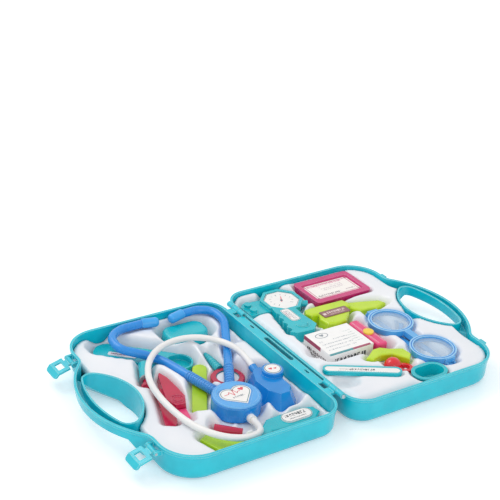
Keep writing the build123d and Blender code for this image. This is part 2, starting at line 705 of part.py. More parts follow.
def tweezers():
    """Pressed leaf with raised thumb rings over a lower leg, joined at the tip."""
    low, high = TWEEZER_SEAT, TWEEZER_SEAT + TWEEZER_HEIGHT
    body = prism(outline(*TWEEZER_LEAF), low, high, 8)
    body += prism(outline(*TWEEZER_LEG), low, low + TWEEZER_LEG_HEIGHT)
    for radius in TWEEZER_RINGS:
        ring = Circle(radius) - Circle(radius - TWEEZER_RING[0])
        body += prism(Pos(*TWEEZER_THUMB) * ring, high - 1, high + TWEEZER_RING[1])
    return body


def tweezer_tail():
    return prism(outline(*TWEEZER_TAIL), TWEEZER_SEAT, TWEEZER_SEAT + TWEEZER_LEG_HEIGHT - 1.5)


def tongue_stick():
    plan = bar_plan(STICK_START, STICK_END, STICK_WIDTH)
    stick = prism(plan, STICK_SEAT, STICK_SEAT + STICK_HEIGHT)
    return fillet(top_edges(stick), 1.2)


def mirror_frame():
    """Ring on a tapering ribbed stalk, rebated for the glass."""
    frame = prism(Pos(*MIRROR) * Circle(MIRROR_RADIUS), MIRROR_SEAT, MIRROR_SEAT + MIRROR_HEIGHT)
    frame = fillet(top_edges(frame), 2)
    hole = Pos(*MIRROR) * Circle(MIRROR_RADIUS - MIRROR_RING)
    return frame - prism(hole, MIRROR_SEAT + 2, MIRROR_SEAT + MIRROR_HEIGHT + 1)


def mirror_glass():
    glass = Pos(*MIRROR) * Circle(MIRROR_RADIUS - MIRROR_RING - 0.1)
    return prism(glass, MIRROR_SEAT + 2, MIRROR_SEAT + MIRROR_HEIGHT - 1.5)


def mirror_stalk():
    run = Vector(*MIRROR_STALK_END) - Vector(*MIRROR)
    along = run.normalized()
    axis = MIRROR_SEAT + MIRROR_STALK_RADII[0] + MIRROR_RIB
    start = Vector(*MIRROR) + along * (MIRROR_RADIUS + 0.2)
    stalk = rod((start.X, start.Y, axis), (*MIRROR_STALK_END, axis), *MIRROR_STALK_RADII)
    length = run.length - MIRROR_RADIUS
    for i in range(MIRROR_RIBS):
        share = (i + 0.5) / (MIRROR_RIBS + 1)
        spot = start + along * (length * share)
        radius = MIRROR_STALK_RADII[0] * (1 - share) + MIRROR_STALK_RADII[1] * share
        end = spot + along * (length / MIRROR_RIBS / 3)
        stalk += rod((spot.X, spot.Y, axis), (end.X, end.Y, axis), radius + MIRROR_RIB)
    return stalk


def probe_body():
    body = prism(outline(*PROBE), PROBE_SEAT, PROBE_SEAT + PROBE_HEIGHT)
    return fillet(top_edges(body), PROBE_EDGE)


def probe_plate():
    low = PROBE_SEAT + PROBE_HEIGHT
    plan = Pos(*PROBE_PLATE_MIDDLE) * SlotOverall(*PROBE_PLATE_SIZE)
    return prism(plan, low, low + 2 * PLATE)


def lime_pad():
    pad = prism(outline(*PAD), PAD_SEAT, PAD_SEAT + PAD_HEIGHT)
    return fillet(top_edges(pad), 1.5)


def dropper():
    start, end = (*DROPPER_START, DROPPER_AXIS), (*DROPPER_END, DROPPER_AXIS)
    return rod(start, end, DROPPER_RADIUS, DROPPER_RADIUS * 0.7)


# ---- instruments in the base ----
GAUGE = (70.0, 104.5)
GAUGE_RADIUS = 26.0
GAUGE_SEAT = 12.0
GAUGE_HEIGHT = 15.0
GAUGE_BEZEL = 4.0
GAUGE_DIAL_DROP = 2.0
GAUGE_GRIP = ((46, 90), (44, 76), (40, 62), (38, 46), (34, 32), (40, 26), (64, 24), (74, 34), (72, 60), (74, 88))
GAUGE_YOKE = ((17, 117), (17, 92), (30, 92), (48, 90), (52, 110), (46, 121), (24, 123))
GAUGE_PEGS = ((25.0, 114.0), (25.0, 100.0))
GAUGE_PEG = (4.6, 4.0)      # radius and height
GAUGE_SPOUT = ((93.0, 92.0), (99.5, 88.5))
GAUGE_SPOUT_RADIUS = 4.2
GAUGE_PLATE_MIDDLE = (57.0, 66.0)
GAUGE_PLATE_SIZE = (13.0, 30.0)
THUMB_ARC = (10.0, 7.5)

BOARD_MIDDLE = (147.0, 101.0)
BOARD_SIZE = (86.0, 58.0)
BOARD_SEAT = 15.5
BOARD_HEIGHT = 13.0
BOARD_FLARE = 14.0          # degrees
BOARD_CARD = (70.0, 37.0)
BOARD_CARD_DROP = 3.0

TORCH_HEAD = ((76, 60), (80, 52), (90, 50), (138, 50), (142, 58), (138, 68), (92, 69), (80, 68))
TORCH_GRIP = ((90, 52), (84, 40), (86, 26), (96, 22), (112, 23), (128, 38), (132, 52))
TORCH_BEAK = ((136, 54), (146, 38), (168, 34), (188, 40), (184, 50), (160, 58), (140, 64))
TORCH_SEAT = 12.0
TORCH_HEIGHT = 16.0
TORCH_BEAK_HEIGHT = 10.0
TORCH_EDGE = 3.0
TORCH_PLATE_MIDDLE = (110.0, 45.0)
TORCH_PLATE_SIZE = (40.0, 14.0)

CARTON_MIDDLE = (74.5, -11.0)
CARTON_SIZE = (64.0, 54.0)
CARTON_HEIGHT = 24.5
CARTON_FLAP = 0.6

ROLL_MIDDLE = (117.5, -13.0)
ROLL_SIZE = (15.0, 62.0)
ROLL_HEIGHT = 24.0
ROLL_CAP_RADIUS = 6.5
ROLL_CAP_PLACE = (117.0, -14.0)

SPATULA = (
    (78, -60), (98, -47), (108, -47), (116, -54), (132, -62), (133, -76), (124, -85),
    (112, -66), (98, -62), (84, -66),
)
SPATULA_SEAT = 18.0
SPATULA_HEIGHT = 9.0

WHISTLE = (103.5, -79.0)
WHISTLE_RADIUS = 10.5
WHISTLE_SEAT = 9.0
WHISTLE_RING = (112.5, -90.5)
WHISTLE_RING_RADII = (9.0, 5.5)
WHISTLE_RING_HEIGHT = 5.0

THERMOMETER_START = (24.0, -60.0)
THERMOMETER_END = (90.0, -99.5)
THERMOMETER_WIDTH = 15.0
THERMOMETER_SEAT = 24.0
THERMOMETER_HEIGHT = 5.0
THERMOMETER_BORDER = 2.2

DISH_MIDDLE = (127.0, -116.0)
DISH_SIZE = (42.0, 27.0)
DISH_SEAT = 11.0
DISH_HEIGHT = 16.0
DISH_WALL = 1.8
DISH_RIM = 2.0

RIMS = ((159.0, -5.0), (164.0, -79.0))
RIM_RADIUS = 28.5
RIM_BAND = 5.0
GLASSES_SEAT = 22.0
GLASSES_HEIGHT = 7.0
LENS = 1.6
BRIDGE_WIDTH = 9.0
TEMPLE_PLACES = (26.0, -109.0)  # where each temple hinges, along Y
TEMPLE_X = (153.5, 165.5)    # the folded temples lie side by side
TEMPLE_WIDTH = 7.0
TEMPLE_HEIGHT = 3.4
TEMPLE_LENGTH = 92.0
TEMPLE_HOOK = 14.0
TEMPLE_PIN_RADIUS = 1.2
TEMPLE_EYE = 3.2
TEMPLE_EAR = 2.6            # thickness of each ear
TEMPLE_GAP = 0.4
TEMPLE_AXIS = GLASSES_SEAT - TEMPLE_EYE - TEMPLE_GAP


def gauge_plan(inset=0.0):
    """Eight-sided head."""
    flat = (GAUGE_RADIUS - inset) / cos(pi / 8)
    return Pos(*GAUGE) * Rot(0, 0, 22.5) * RegularPolygon(flat, 8)


def gauge_body():
    """Eight-sided head with a dial recess, scalloped grip, yoke with two pegs and a spout."""
    low, high = GAUGE_SEAT, GAUGE_SEAT + GAUGE_HEIGHT
    grip = outline(*GAUGE_GRIP)
    for i in range(4):
        grip -= Pos(34.5 + 2.2 * i, 38 + 12 * i) * Circle(5)
    body = prism(gauge_plan(), low, high) + prism(grip, low, high)
    body += prism(outline(*GAUGE_YOKE), low, high - 4)
    body -= prism(gauge_plan(GAUGE_BEZEL), high - GAUGE_DIAL_DROP, high + 1)
    for peg in GAUGE_PEGS:
        body += prism(Pos(*peg) * Circle(GAUGE_PEG[0]), high - 5, high - 4 + GAUGE_PEG[1])
    (ax, ay), (bx, by) = GAUGE_SPOUT
    middle = (low + high) / 2 + 2
    body += rod((ax, ay, middle), (bx, by, middle), GAUGE_SPOUT_RADIUS)
    arc = Circle(THUMB_ARC[0]) - Circle(THUMB_ARC[1])
    arc -= Pos(0, THUMB_ARC[0]) * Rectangle(3 * THUMB_ARC[0], 2 * THUMB_ARC[0])
    return body + prism(Pos(58, 42) * arc, high - 1, high + 0.8)


def gauge_dial():
    low = GAUGE_SEAT + GAUGE_HEIGHT - GAUGE_DIAL_DROP
    return prism(gauge_plan(GAUGE_BEZEL + 0.3), low, low + PLATE)


def gauge_plate():
    low = GAUGE_SEAT + GAUGE_HEIGHT
    return prism(box_plan(GAUGE_PLATE_MIDDLE, GAUGE_PLATE_SIZE, 4), low, low + PLATE)


def board_frame():
    """Shallow tray with flared sides and a recess for the card."""
    foot_size = [s - 2 * BOARD_HEIGHT * tan(radians(BOARD_FLARE)) for s in BOARD_SIZE]
    foot = box_plan(BOARD_MIDDLE, foot_size, 2)
    frame = prism(foot, BOARD_SEAT, BOARD_SEAT + BOARD_HEIGHT, -BOARD_FLARE)
    recess = box_plan(BOARD_MIDDLE, BOARD_CARD, 2)
    top = BOARD_SEAT + BOARD_HEIGHT
    return frame - prism(recess, top - BOARD_CARD_DROP, top + 1, -30)


def board_card():
    plan = box_plan(BOARD_MIDDLE, (BOARD_CARD[0] - 0.6, BOARD_CARD[1] - 0.6), 2)
    low = BOARD_SEAT + BOARD_HEIGHT - BOARD_CARD_DROP
    return prism(plan, low, low + PLATE)


def torch_body():
    body = prism(outline(*TORCH_HEAD) + outline(*TORCH_GRIP), TORCH_SEAT, TORCH_SEAT + TORCH_HEIGHT)
    body = fillet(top_edges(body), TORCH_EDGE)
    low = TORCH_SEAT + TORCH_EDGE
    beak = prism(outline(*TORCH_BEAK), low, low + TORCH_BEAK_HEIGHT)
    return body + fillet(top_edges(beak), TORCH_EDGE)


def torch_plate():
    low = TORCH_SEAT + TORCH_HEIGHT
    return prism(box_plan(TORCH_PLATE_MIDDLE, TORCH_PLATE_SIZE, 2), low, low + PLATE)


def carton():
    box = prism(box_plan(CARTON_MIDDLE, CARTON_SIZE, 0.5), DEEP_SEAT, DEEP_SEAT + CARTON_HEIGHT)
    size = (CARTON_SIZE[0] - 2 * CARTON_FLAP, CARTON_SIZE[1] - 2 * CARTON_FLAP)
    hollow = box_plan(CARTON_MIDDLE, size, 0.3)
    return box - prism(hollow, DEEP_SEAT + CARTON_FLAP, DEEP_SEAT + CARTON_HEIGHT - CARTON_FLAP)


def bandage_roll():
    roll = prism(box_plan(ROLL_MIDDLE, ROLL_SIZE, 5), DEEP_SEAT, DEEP_SEAT + ROLL_HEIGHT)
    return fillet(top_edges(roll), 2.5)


def roll_cap():
    low = DEEP_SEAT + ROLL_HEIGHT
    return prism(Pos(*ROLL_CAP_PLACE) * Circle(ROLL_CAP_RADIUS), low, low + 2)


def spatula():
    blade = prism(outline(*SPATULA), SPATULA_SEAT, SPATULA_SEAT + SPATULA_HEIGHT)
    return fillet(top_edges(blade), 2)


def whistle():
    """Round bulb with a finger ring."""
    ball = Pos(*WHISTLE, WHISTLE_SEAT + WHISTLE_RADIUS) * Sphere(WHISTLE_RADIUS)
    middle = WHISTLE_SEAT + WHISTLE_RADIUS
    ring = Circle(WHISTLE_RING_RADII[0]) - Circle(WHISTLE_RING_RADII[1])
    low = middle - WHISTLE_RING_HEIGHT / 2
    return ball + prism(Pos(*WHISTLE_RING) * ring, low, low + WHISTLE_RING_HEIGHT)


def thermometer_plan(inset=0.0):
    return bar_plan(THERMOMETER_START, THERMOMETER_END, THERMOMETER_WIDTH - 2 * inset)


def thermometer_body():
    top = THERMOMETER_SEAT + THERMOMETER_HEIGHT
    body = prism(thermometer_plan(), THERMOMETER_SEAT, top)
    return body - prism(thermometer_plan(THERMOMETER_BORDER), top - 1.5, top + 1)


def thermometer_scale():
    low = THERMOMETER_SEAT + THERMOMETER_HEIGHT - 1.5
    return prism(thermometer_plan(THERMOMETER_BORDER + 0.1), low, low + 1)


def kidney_dish():
    """Flared oval bowl with a turned-out rim."""
    flare = 12
    inset = DISH_HEIGHT * tan(radians(flare))
    foot = (DISH_SIZE[0] - 2 * inset, DISH_SIZE[1] - 2 * inset)
    bowl = prism(Pos(*DISH_MIDDLE) * SlotOverall(*foot), DISH_SEAT, DISH_SEAT + DISH_HEIGHT, -flare)
    rim = SlotOverall(DISH_SIZE[0] + 2 * DISH_RIM, DISH_SIZE[1] + 2 * DISH_RIM)
    top = DISH_SEAT + DISH_HEIGHT
    bowl += prism(Pos(*DISH_MIDDLE) * rim, top - DISH_WALL, top)
    inner = SlotOverall(foot[0] - 2 * DISH_WALL, foot[1] - 2 * DISH_WALL)
    return bowl - prism(Pos(*DISH_MIDDLE) * inner, DISH_SEAT + DISH_WALL, top + 1, -flare)


def glasses_front():
    """Two round rims, a bridge and an eye block at each end for the temples."""
    low, high = GLASSES_SEAT, GLASSES_SEAT + GLASSES_HEIGHT
    (ax, ay), (bx, by) = RIMS
    front = Pos(ax, ay) * Circle(RIM_RADIUS) + Pos(bx, by) * Circle(RIM_RADIUS)
    front += Pos((ax + bx) / 2, (ay + by) / 2) * Rectangle(BRIDGE_WIDTH, ay - by)
    for x, y, rim_y in zip(TEMPLE_X, TEMPLE_PLACES, (ay, by)):
        front += Pos(x, (y + rim_y) / 2) * Rectangle(TEMPLE_WIDTH + 8, abs(y - rim_y))
    holes = Pos(ax, ay) * Circle(RIM_RADIUS - RIM_BAND) + Pos(bx, by) * Circle(RIM_RADIUS - RIM_BAND)
    frame = prism(front - holes, low, high)
    for x, y in zip(TEMPLE_X, TEMPLE_PLACES):
        frame += temple_ears(x, y)
    return frame


def temple_ears(x, y):
    half, axis = TEMPLE_WIDTH / 2 + TEMPLE_GAP, TEMPLE_AXIS
    ears = None
    for end in (-1, 1):
        near, far = x + end * half, x + end * (half + TEMPLE_EAR)
        low, high = min(near, far), max(near, far)
        ear = rod((low, y, axis), (high, y, axis), TEMPLE_EYE)
        ear += web(low, high, y - TEMPLE_EYE, y + TEMPLE_EYE, axis, GLASSES_SEAT + 2)
        ears = ear if ears is None else ears + ear
    pin = (x - half - 4, y, axis), (x + half + 4, y, axis)
    return ears - rod(*pin, TEMPLE_PIN_RADIUS + PIN_CLEARANCE)


def lenses():
    low = GLASSES_SEAT + GLASSES_HEIGHT / 2
    return [prism(Pos(*place) * Circle(RIM_RADIUS - RIM_BAND), low, low + LENS) for place in RIMS]


def temple_pins():
    pins = []
    half = TEMPLE_WIDTH / 2 + TEMPLE_GAP + TEMPLE_EAR
    for x, y in zip(TEMPLE_X, TEMPLE_PLACES):
        pins.append(rod((x - half, y, TEMPLE_AXIS), (x + half, y, TEMPLE_AXIS), TEMPLE_PIN_RADIUS))
    return pins


def temple(side):
    """Side arm folded along the back of the front, with an ear hook at its end."""
    x, y, axis = TEMPLE_X[side], TEMPLE_PLACES[side], TEMPLE_AXIS
    inward = -1 if side == 0 else 1
    out = inward    # each hook bends away from the other temple
    arm_end, tip = y + inward * TEMPLE_LENGTH, y + inward * (TEMPLE_LENGTH + TEMPLE_HOOK)
    low, high = axis - TEMPLE_HEIGHT / 2, axis + TEMPLE_HEIGHT / 2
    y_low, y_high = min(y, arm_end), max(y, arm_end)
    half = TEMPLE_WIDTH / 2
    arm = web(x - half, x + half, y_low, y_high, low, high)
    hook = outline(
        (x + out * half, arm_end), (x - out * half, arm_end),
        (x + out * (half + 6), tip), (x + out * (half + 10), tip - inward * 5),
    )
    arm += prism(hook, low, high)
    arm += rod((x - half, y, axis), (x + half, y, axis), TEMPLE_EYE)
    return arm - rod((x - half - 1, y, axis), (x + half + 1, y, axis), TEMPLE_PIN_RADIUS + PIN_CLEARANCE)


# ---- wells ----
def route_plan(points, width):
    """Plan of the path under a bent bar, as overlapping straight slots."""
    spots = [(x, y) for x, y, _ in points]
    plan = bar_plan(spots[0], spots[1], width)
    for start, end in zip(spots[1:], spots[2:]):
        plan += bar_plan(start, end, width)
    return plan


def lid_wells():
    margin = WELL_MARGIN
    arm_width = 2 * (ARM_RADIUS + margin)
    arm_floor = LEFT_ARM[0][2] - ARM_RIB_RADIUS
    tips = bar_plan(LEFT_ARM[-1][:2], LEFT_TIP_END[:2], 2 * (EAR_TIP_RADIUS + margin))
    tips += bar_plan(RIGHT_ARM[-1][:2], RIGHT_TIP_END[:2], 2 * (EAR_TIP_RADIUS + margin))
    syringe = bar_plan(SYRINGE_START, SYRINGE_END, 2 * (COLLAR_RADIUS + margin))
    stalk = bar_plan(MIRROR, MIRROR_STALK_END, 2 * (MIRROR_STALK_RADII[0] + margin))
    hose_start = route_plan(HOSE[:4], 2 * (HOSE_PLUG[0] + margin))
    hose_end = route_plan(HOSE[-3:], 2 * (HOSE_PLUG[0] + margin))
    spigot = bar_plan(HUB, HOSE[0][:2], 2 * (HOSE_PLUG[0] + 1 + margin))
    sockets = bar_plan(HUB, LEFT_ARM[0][:2], 2 * (ARM_SOCKET[0] + margin))
    sockets += bar_plan(HUB, RIGHT_ARM[0][:2], 2 * (ARM_SOCKET[0] + margin))
    return [
        (Pos(*HUB) * Circle(HUB_RADIUS + margin), HUB_SEAT),
        (sockets, LEFT_ARM[0][2] - ARM_SOCKET[0]),
        (spigot, HUB_SEAT + 1),
        (outline(*FRONT_SHELF), FRONT_SHELF_FLOOR),
        (offset(outline(*BELL), amount=margin), BELL_SEAT),
        (Pos(*BOSS) * Circle(BOSS_RADIUS + margin), BELL_SEAT),
        (route_plan(LEFT_ARM, arm_width), arm_floor),
        (route_plan(RIGHT_ARM, arm_width), arm_floor),
        (tips, LEFT_ARM[-1][2] - EAR_TIP_RADIUS),
        (hose_start, HOSE[0][2] - HOSE_PLUG[0]),
        (hose_end, HOSE[-1][2] - HOSE_PLUG[0]),
        (scope_frame() * box_plan((6, 0), (SCOPE_LENGTH + 16, SCOPE_WIDTH + 2 * margin), SCOPE_CORNER), SCOPE_SEAT),
        (cup_plan(-margin), CUP_SEAT),
        (syringe, SYRINGE_AXIS - COLLAR_RADIUS),
        (offset(outline(*TWEEZER_LEAF), amount=margin), TWEEZER_SEAT),
        (offset(outline(*TWEEZER_LEG), amount=margin), TWEEZER_SEAT),
        (offset(outline(*TWEEZER_TAIL), amount=margin), TWEEZER_SEAT),
        (bar_plan(STICK_START, STICK_END, STICK_WIDTH + 2 * margin), STICK_SEAT),
        (Pos(*MIRROR) * Circle(MIRROR_RADIUS + margin), MIRROR_SEAT),
        (stalk, MIRROR_SEAT),
        (offset(outline(*PROBE), amount=margin), PROBE_SEAT),
        (offset(outline(*PAD), amount=margin), PAD_SEAT),
        (bar_plan(DROPPER_START, DROPPER_END, 2 * (DROPPER_RADIUS + margin)), DROPPER_AXIS - DROPPER_RADIUS),
    ]


def base_wells():
    margin = WELL_MARGIN
    (ax, ay), (bx, by) = RIMS
    spectacles = Pos(ax, ay) * Circle(RIM_RADIUS + margin) + Pos(bx, by) * Circle(RIM_RADIUS + margin)
    spectacles += Pos((ax + bx) / 2, (ay + by) / 2) * Rectangle(2 * RIM_RADIUS, ay - by)
    reach = TEMPLE_WIDTH / 2 + 10 + margin
    near, far = TEMPLE_X[0] - reach, TEMPLE_X[1] + reach
    middle = ((near + far) / 2, sum(TEMPLE_PLACES) / 2)
    temples = box_plan(middle, (far - near, TEMPLE_PLACES[0] - TEMPLE_PLACES[1] + 14), 6)
    spout = bar_plan(*GAUGE_SPOUT, 2 * (GAUGE_SPOUT_RADIUS + margin))
    whistle_plan = Pos(*WHISTLE) * Circle(WHISTLE_RADIUS + margin)
    ring_plan = Pos(*WHISTLE_RING) * Circle(WHISTLE_RING_RADII[0] + margin)
    return [
        (offset(outline(*GAUGE_GRIP), amount=margin), GAUGE_SEAT),
        (offset(outline(*GAUGE_YOKE), amount=margin), GAUGE_SEAT),
        (gauge_plan(-margin), GAUGE_SEAT),
        (spout, GAUGE_SEAT),
        (box_plan(BOARD_MIDDLE, [s + 2 * margin for s in BOARD_SIZE], 4), BOARD_SEAT),
        (offset(outline(*TORCH_HEAD) + outline(*TORCH_GRIP), amount=margin), TORCH_SEAT),
        (offset(outline(*TORCH_BEAK), amount=margin), TORCH_SEAT + TORCH_EDGE),
        (box_plan(CARTON_MIDDLE, [s + 2 * margin for s in CARTON_SIZE], 3), DEEP_SEAT),
        (box_plan(ROLL_MIDDLE, [s + 2 * margin for s in ROLL_SIZE], 4), DEEP_SEAT),
        (offset(outline(*SPATULA), amount=margin), SPATULA_SEAT),
        (whistle_plan, WHISTLE_SEAT),
        (ring_plan, WHISTLE_SEAT + WHISTLE_RADIUS - WHISTLE_RING_HEIGHT / 2),
        (thermometer_plan(-margin), THERMOMETER_SEAT),
        (Pos(*DISH_MIDDLE) * SlotOverall(DISH_SIZE[0] + 2 * DISH_RIM + 2, DISH_SIZE[1] + 2 * DISH_RIM + 2), DISH_SEAT),
        (spectacles, GLASSES_SEAT),
        (temples, TEMPLE_AXIS - TEMPLE_EYE),
    ]


# ---- the whole case ----
def build():
    """Every node of the case and its one solid or list of solids."""
    return {
        "base_shell": base_shell(),
        "base_tray": tray(BASE_HINGE_GAP, BASE_TRAY_DROP, base_wells(), 1),
        "hinge_pins": hinge_pins(),
        "lid_shell": lid_shell(),
        "lid_tray": tray(LID_HINGE_GAP, LID_TRAY_DROP, lid_wells(), -1),
        "lid_label": lid_label(),
        "latch_pins": [to_lid(latch_pin(side)) for side in (-1, 1)],
        "latch_near": latch_strap(-1),
        "latch_far": latch_strap(1),
        "stethoscope_drum": hub_drum(),
        "stethoscope_cap": hub_cap(),
        "stethoscope_heart_plate": hub_plate(),
        "ear_arm_left": ear_arm(LEFT_ARM, LEFT_RIBS),
        "ear_arm_right": ear_arm(RIGHT_ARM, RIGHT_RIBS),
        "ear_tips": [ear_tip(LEFT_ARM, LEFT_TIP_END), ear_tip(RIGHT_ARM, RIGHT_TIP_END)],
        "hose_plug": hose_plug(),
        "hose": tube(HOSE, HOSE_RADIUS),
        "chest_bell": chest_bell(),
        "chest_badge": chest_badge(),
        "ear_scope": scope_body(),
        "ear_scope_plate": scope_plate(),
        "medicine_cup": medicine_cup(),
        "syringe_barrel": syringe_barrel(),
        "syringe_collar": syringe_collar(),
        "syringe_plunger": syringe_plunger(),
        "tweezers": tweezers(),
        "tweezer_tail": tweezer_tail(),
        "tongue_stick": tongue_stick(),
        "mirror_frame": mirror_frame(),
        "mirror_glass": mirror_glass(),
        "mirror_stalk": mirror_stalk(),
        "probe": probe_body(),
        "probe_plate": probe_plate(),
        "lime_pad": lime_pad(),
        "dropper": dropper(),
        "gauge": gauge_body(),
        "gauge_dial": gauge_dial(),
        "gauge_plate": gauge_plate(),
        "board_frame": board_frame(),
        "board_card": board_card(),
        "torch": torch_body(),
        "torch_plate": torch_plate(),
        "carton": carton(),
        "bandage_roll": bandage_roll(),
        "roll_cap": roll_cap(),
        "spatula": spatula(),
        "whistle": whistle(),
        "thermometer": thermometer_body(),
        "thermometer_scale": thermometer_scale(),
        "kidney_dish": kidney_dish(),
        "glasses_front": glasses_front(),
        "glasses_lenses": lenses(),
        "temple_pins": temple_pins(),
        "temple_far": temple(0),
        "temple_near": temple(1),
    }


def main():
    os.makedirs("parts", exist_ok=True)
    for name, shape in build().items():
        solids = shape if isinstance(shape, list) else [shape]
        node = solids[0] if len(solids) == 1 else Compound(children=solids)
        export_step(node, f"parts/{name}.step")
    radii, turns = route_radii(HOSE)
    print("hose arc radii", [round(r) for r in radii], "turns", [round(t) for t in turns])


if __name__ == "__main__":
    main()
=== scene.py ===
"""Toy doctor case lying open flat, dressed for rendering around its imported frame."""
import json
import math

import bmesh
import bpy
import numpy as np
from mathutils import Matrix, Vector
from mathutils.bvhtree import BVHTree

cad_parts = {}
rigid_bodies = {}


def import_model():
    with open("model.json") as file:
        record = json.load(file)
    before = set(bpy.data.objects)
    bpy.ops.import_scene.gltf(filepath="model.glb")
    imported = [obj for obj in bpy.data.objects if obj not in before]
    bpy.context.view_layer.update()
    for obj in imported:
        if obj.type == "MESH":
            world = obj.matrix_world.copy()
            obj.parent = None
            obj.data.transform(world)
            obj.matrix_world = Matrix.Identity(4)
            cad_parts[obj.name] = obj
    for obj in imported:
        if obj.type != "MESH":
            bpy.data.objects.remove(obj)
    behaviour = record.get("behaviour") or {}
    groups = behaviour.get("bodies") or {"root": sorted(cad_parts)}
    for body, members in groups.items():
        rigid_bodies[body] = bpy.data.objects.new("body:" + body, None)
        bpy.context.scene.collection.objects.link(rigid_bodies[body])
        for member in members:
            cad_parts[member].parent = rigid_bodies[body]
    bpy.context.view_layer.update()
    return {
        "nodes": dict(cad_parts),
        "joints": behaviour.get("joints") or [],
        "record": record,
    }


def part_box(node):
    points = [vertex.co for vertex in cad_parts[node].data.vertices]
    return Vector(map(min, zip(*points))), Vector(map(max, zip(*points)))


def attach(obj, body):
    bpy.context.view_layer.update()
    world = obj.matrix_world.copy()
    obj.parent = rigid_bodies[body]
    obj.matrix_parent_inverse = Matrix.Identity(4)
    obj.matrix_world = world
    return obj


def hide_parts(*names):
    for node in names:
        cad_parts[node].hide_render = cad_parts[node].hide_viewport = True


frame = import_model()
nodes = frame["nodes"]
MM = 0.001

# ---- Case halves ----
# Two tubs injection-moulded in turquoise ABS, 2 mm thick, with a rim bead and
# half of the carrying handle each. Two latches of the same ABS snap over it.
CASE_NODES = ("base_shell", "lid_shell", "latch_near", "latch_far")
TOOL_GRAIN = 1.4            # mm, coarser than the tool's real grain, which would not show


def linear(colour):
    """sRGB hex value as linear red, green and blue, with an alpha of 1."""
    parts = [int(colour[i:i + 2], 16) / 255 for i in (1, 3, 5)]
    return [p / 12.92 if p <= 0.04045 else ((p + 0.055) / 1.055) ** 2.4 for p in parts] + [1.0]


def add(material, kind, inputs=None, **settings):
    """Adds a node with its settings, values and links."""
    tree = material.node_tree
    new = tree.nodes.new(kind)
    for name, value in settings.items():
        setattr(new, name, value)
    for name, value in (inputs or {}).items():
        if isinstance(value, bpy.types.NodeSocket):
            tree.links.new(value, new.inputs[name])
        else:
            new.inputs[name].default_value = value
    return new


def empty_material(name):
    """Material without any node."""
    material = bpy.data.materials.new(name)
    material.use_nodes = True
    material.node_tree.nodes.clear()
    return material


def moulded(name, colour, shade, rim=None, roughness=0.24, flow=18.0, coat=0.12, edge=0.5, over=None,
            **more):
    """Moulded plastic, its lengths in millimetres: pigment that flowed from colour to shade, faint tool
    grain, and a painted highlight in the rim's colour along rounded edges. over lays print on the colour."""
    material = empty_material(name)
    place = add(material, "ShaderNodeTexCoord").outputs["Object"]
    pigment = add(material, "ShaderNodeTexNoise", {
        "Vector": place, "Scale": 1 / (flow * MM), "Detail": 3.0})
    tone = add(material, "ShaderNodeMapRange", {
        "Value": pigment.outputs[0], "From Min": 0.3, "From Max": 0.7})
    mix = add(material, "ShaderNodeMix", {
        "Factor": tone.outputs[0], "A": linear(colour), "B": linear(shade)}, data_type="RGBA")
    tool = add(material, "ShaderNodeTexNoise", {
        "Vector": place, "Scale": 1 / (TOOL_GRAIN * MM), "Detail": 2.0})
    gloss = add(material, "ShaderNodeMapRange", {
        "Value": pigment.outputs[0], "To Min": roughness * 0.8, "To Max": roughness * 1.25})
    rounded = add(material, "ShaderNodeBevel", {"Radius": edge * MM}, samples=4)
    bump = add(material, "ShaderNodeBump", {
        "Strength": 0.06, "Distance": 0.1 * MM, "Height": tool.outputs[0], "Normal": rounded.outputs[0]})
    if rim:
        # Painted highlight: where the rounded normal leaves the face's own near an edge, the rim's colour is
        # mixed in.
        face = add(material, "ShaderNodeNewGeometry").outputs["Normal"]
        turn = add(material, "ShaderNodeVectorMath", {
            0: rounded.outputs[0], 1: face}, operation="DOT_PRODUCT")
        painted_edge_highlight = add(material, "ShaderNodeMapRange", {
            "Value": turn.outputs["Value"], "From Min": 0.995, "From Max": 0.9,
            "To Min": 0.0, "To Max": 0.85})
        mix = add(material, "ShaderNodeMix", {
            "Factor": painted_edge_highlight.outputs[0], "A": mix.outputs["Result"], "B": linear(rim)}, data_type="RGBA")
    values = {
        "Base Color": over(material, mix.outputs["Result"]) if over else mix.outputs["Result"],
        "Roughness": gloss.outputs[0], "IOR": 1.53, "Normal": bump.outputs[0],
        "Coat Weight": coat, "Coat Roughness": 0.08,
    }
    values.update(more)
    shader = add(material, "ShaderNodeBsdfPrincipled", values)
    add(material, "ShaderNodeOutputMaterial", {"Surface": shader.outputs[0]})
    return material


def paint(material, *names):
    """Gives CAD nodes a material."""
    for name in names:
        data = nodes[name].data
        data.materials.clear()
        data.materials.append(material)


# ABS off a polished tool: even and glossy, with a painted highlight, a pale line, on each rounded edge.
abs_turquoise = moulded("moulded_abs_turquoise", "#0AC8DA", "#06BCD0", rim="#9AF3F6", edge=1.6)
paint(abs_turquoise, *CASE_NODES)

# ---- Pins ----
# Straight lengths of steel wire, pressed in at both ends: two through the
# case's hinge, one through each latch, and a thin one through each temple.

# Drawn wire: bright metal whose reflections are a little blurred.
steel_pin = empty_material("drawn_steel_wire")
steel_shader = add(steel_pin, "ShaderNodeBsdfPrincipled", {
    "Base Color": linear("#C4C6C9"), "Metallic": 1.0, "Roughness": 0.28})
add(steel_pin, "ShaderNodeOutputMaterial", {"Surface": steel_shader.outputs[0]})
paint(steel_pin, "hinge_pins", "latch_pins", "temple_pins")

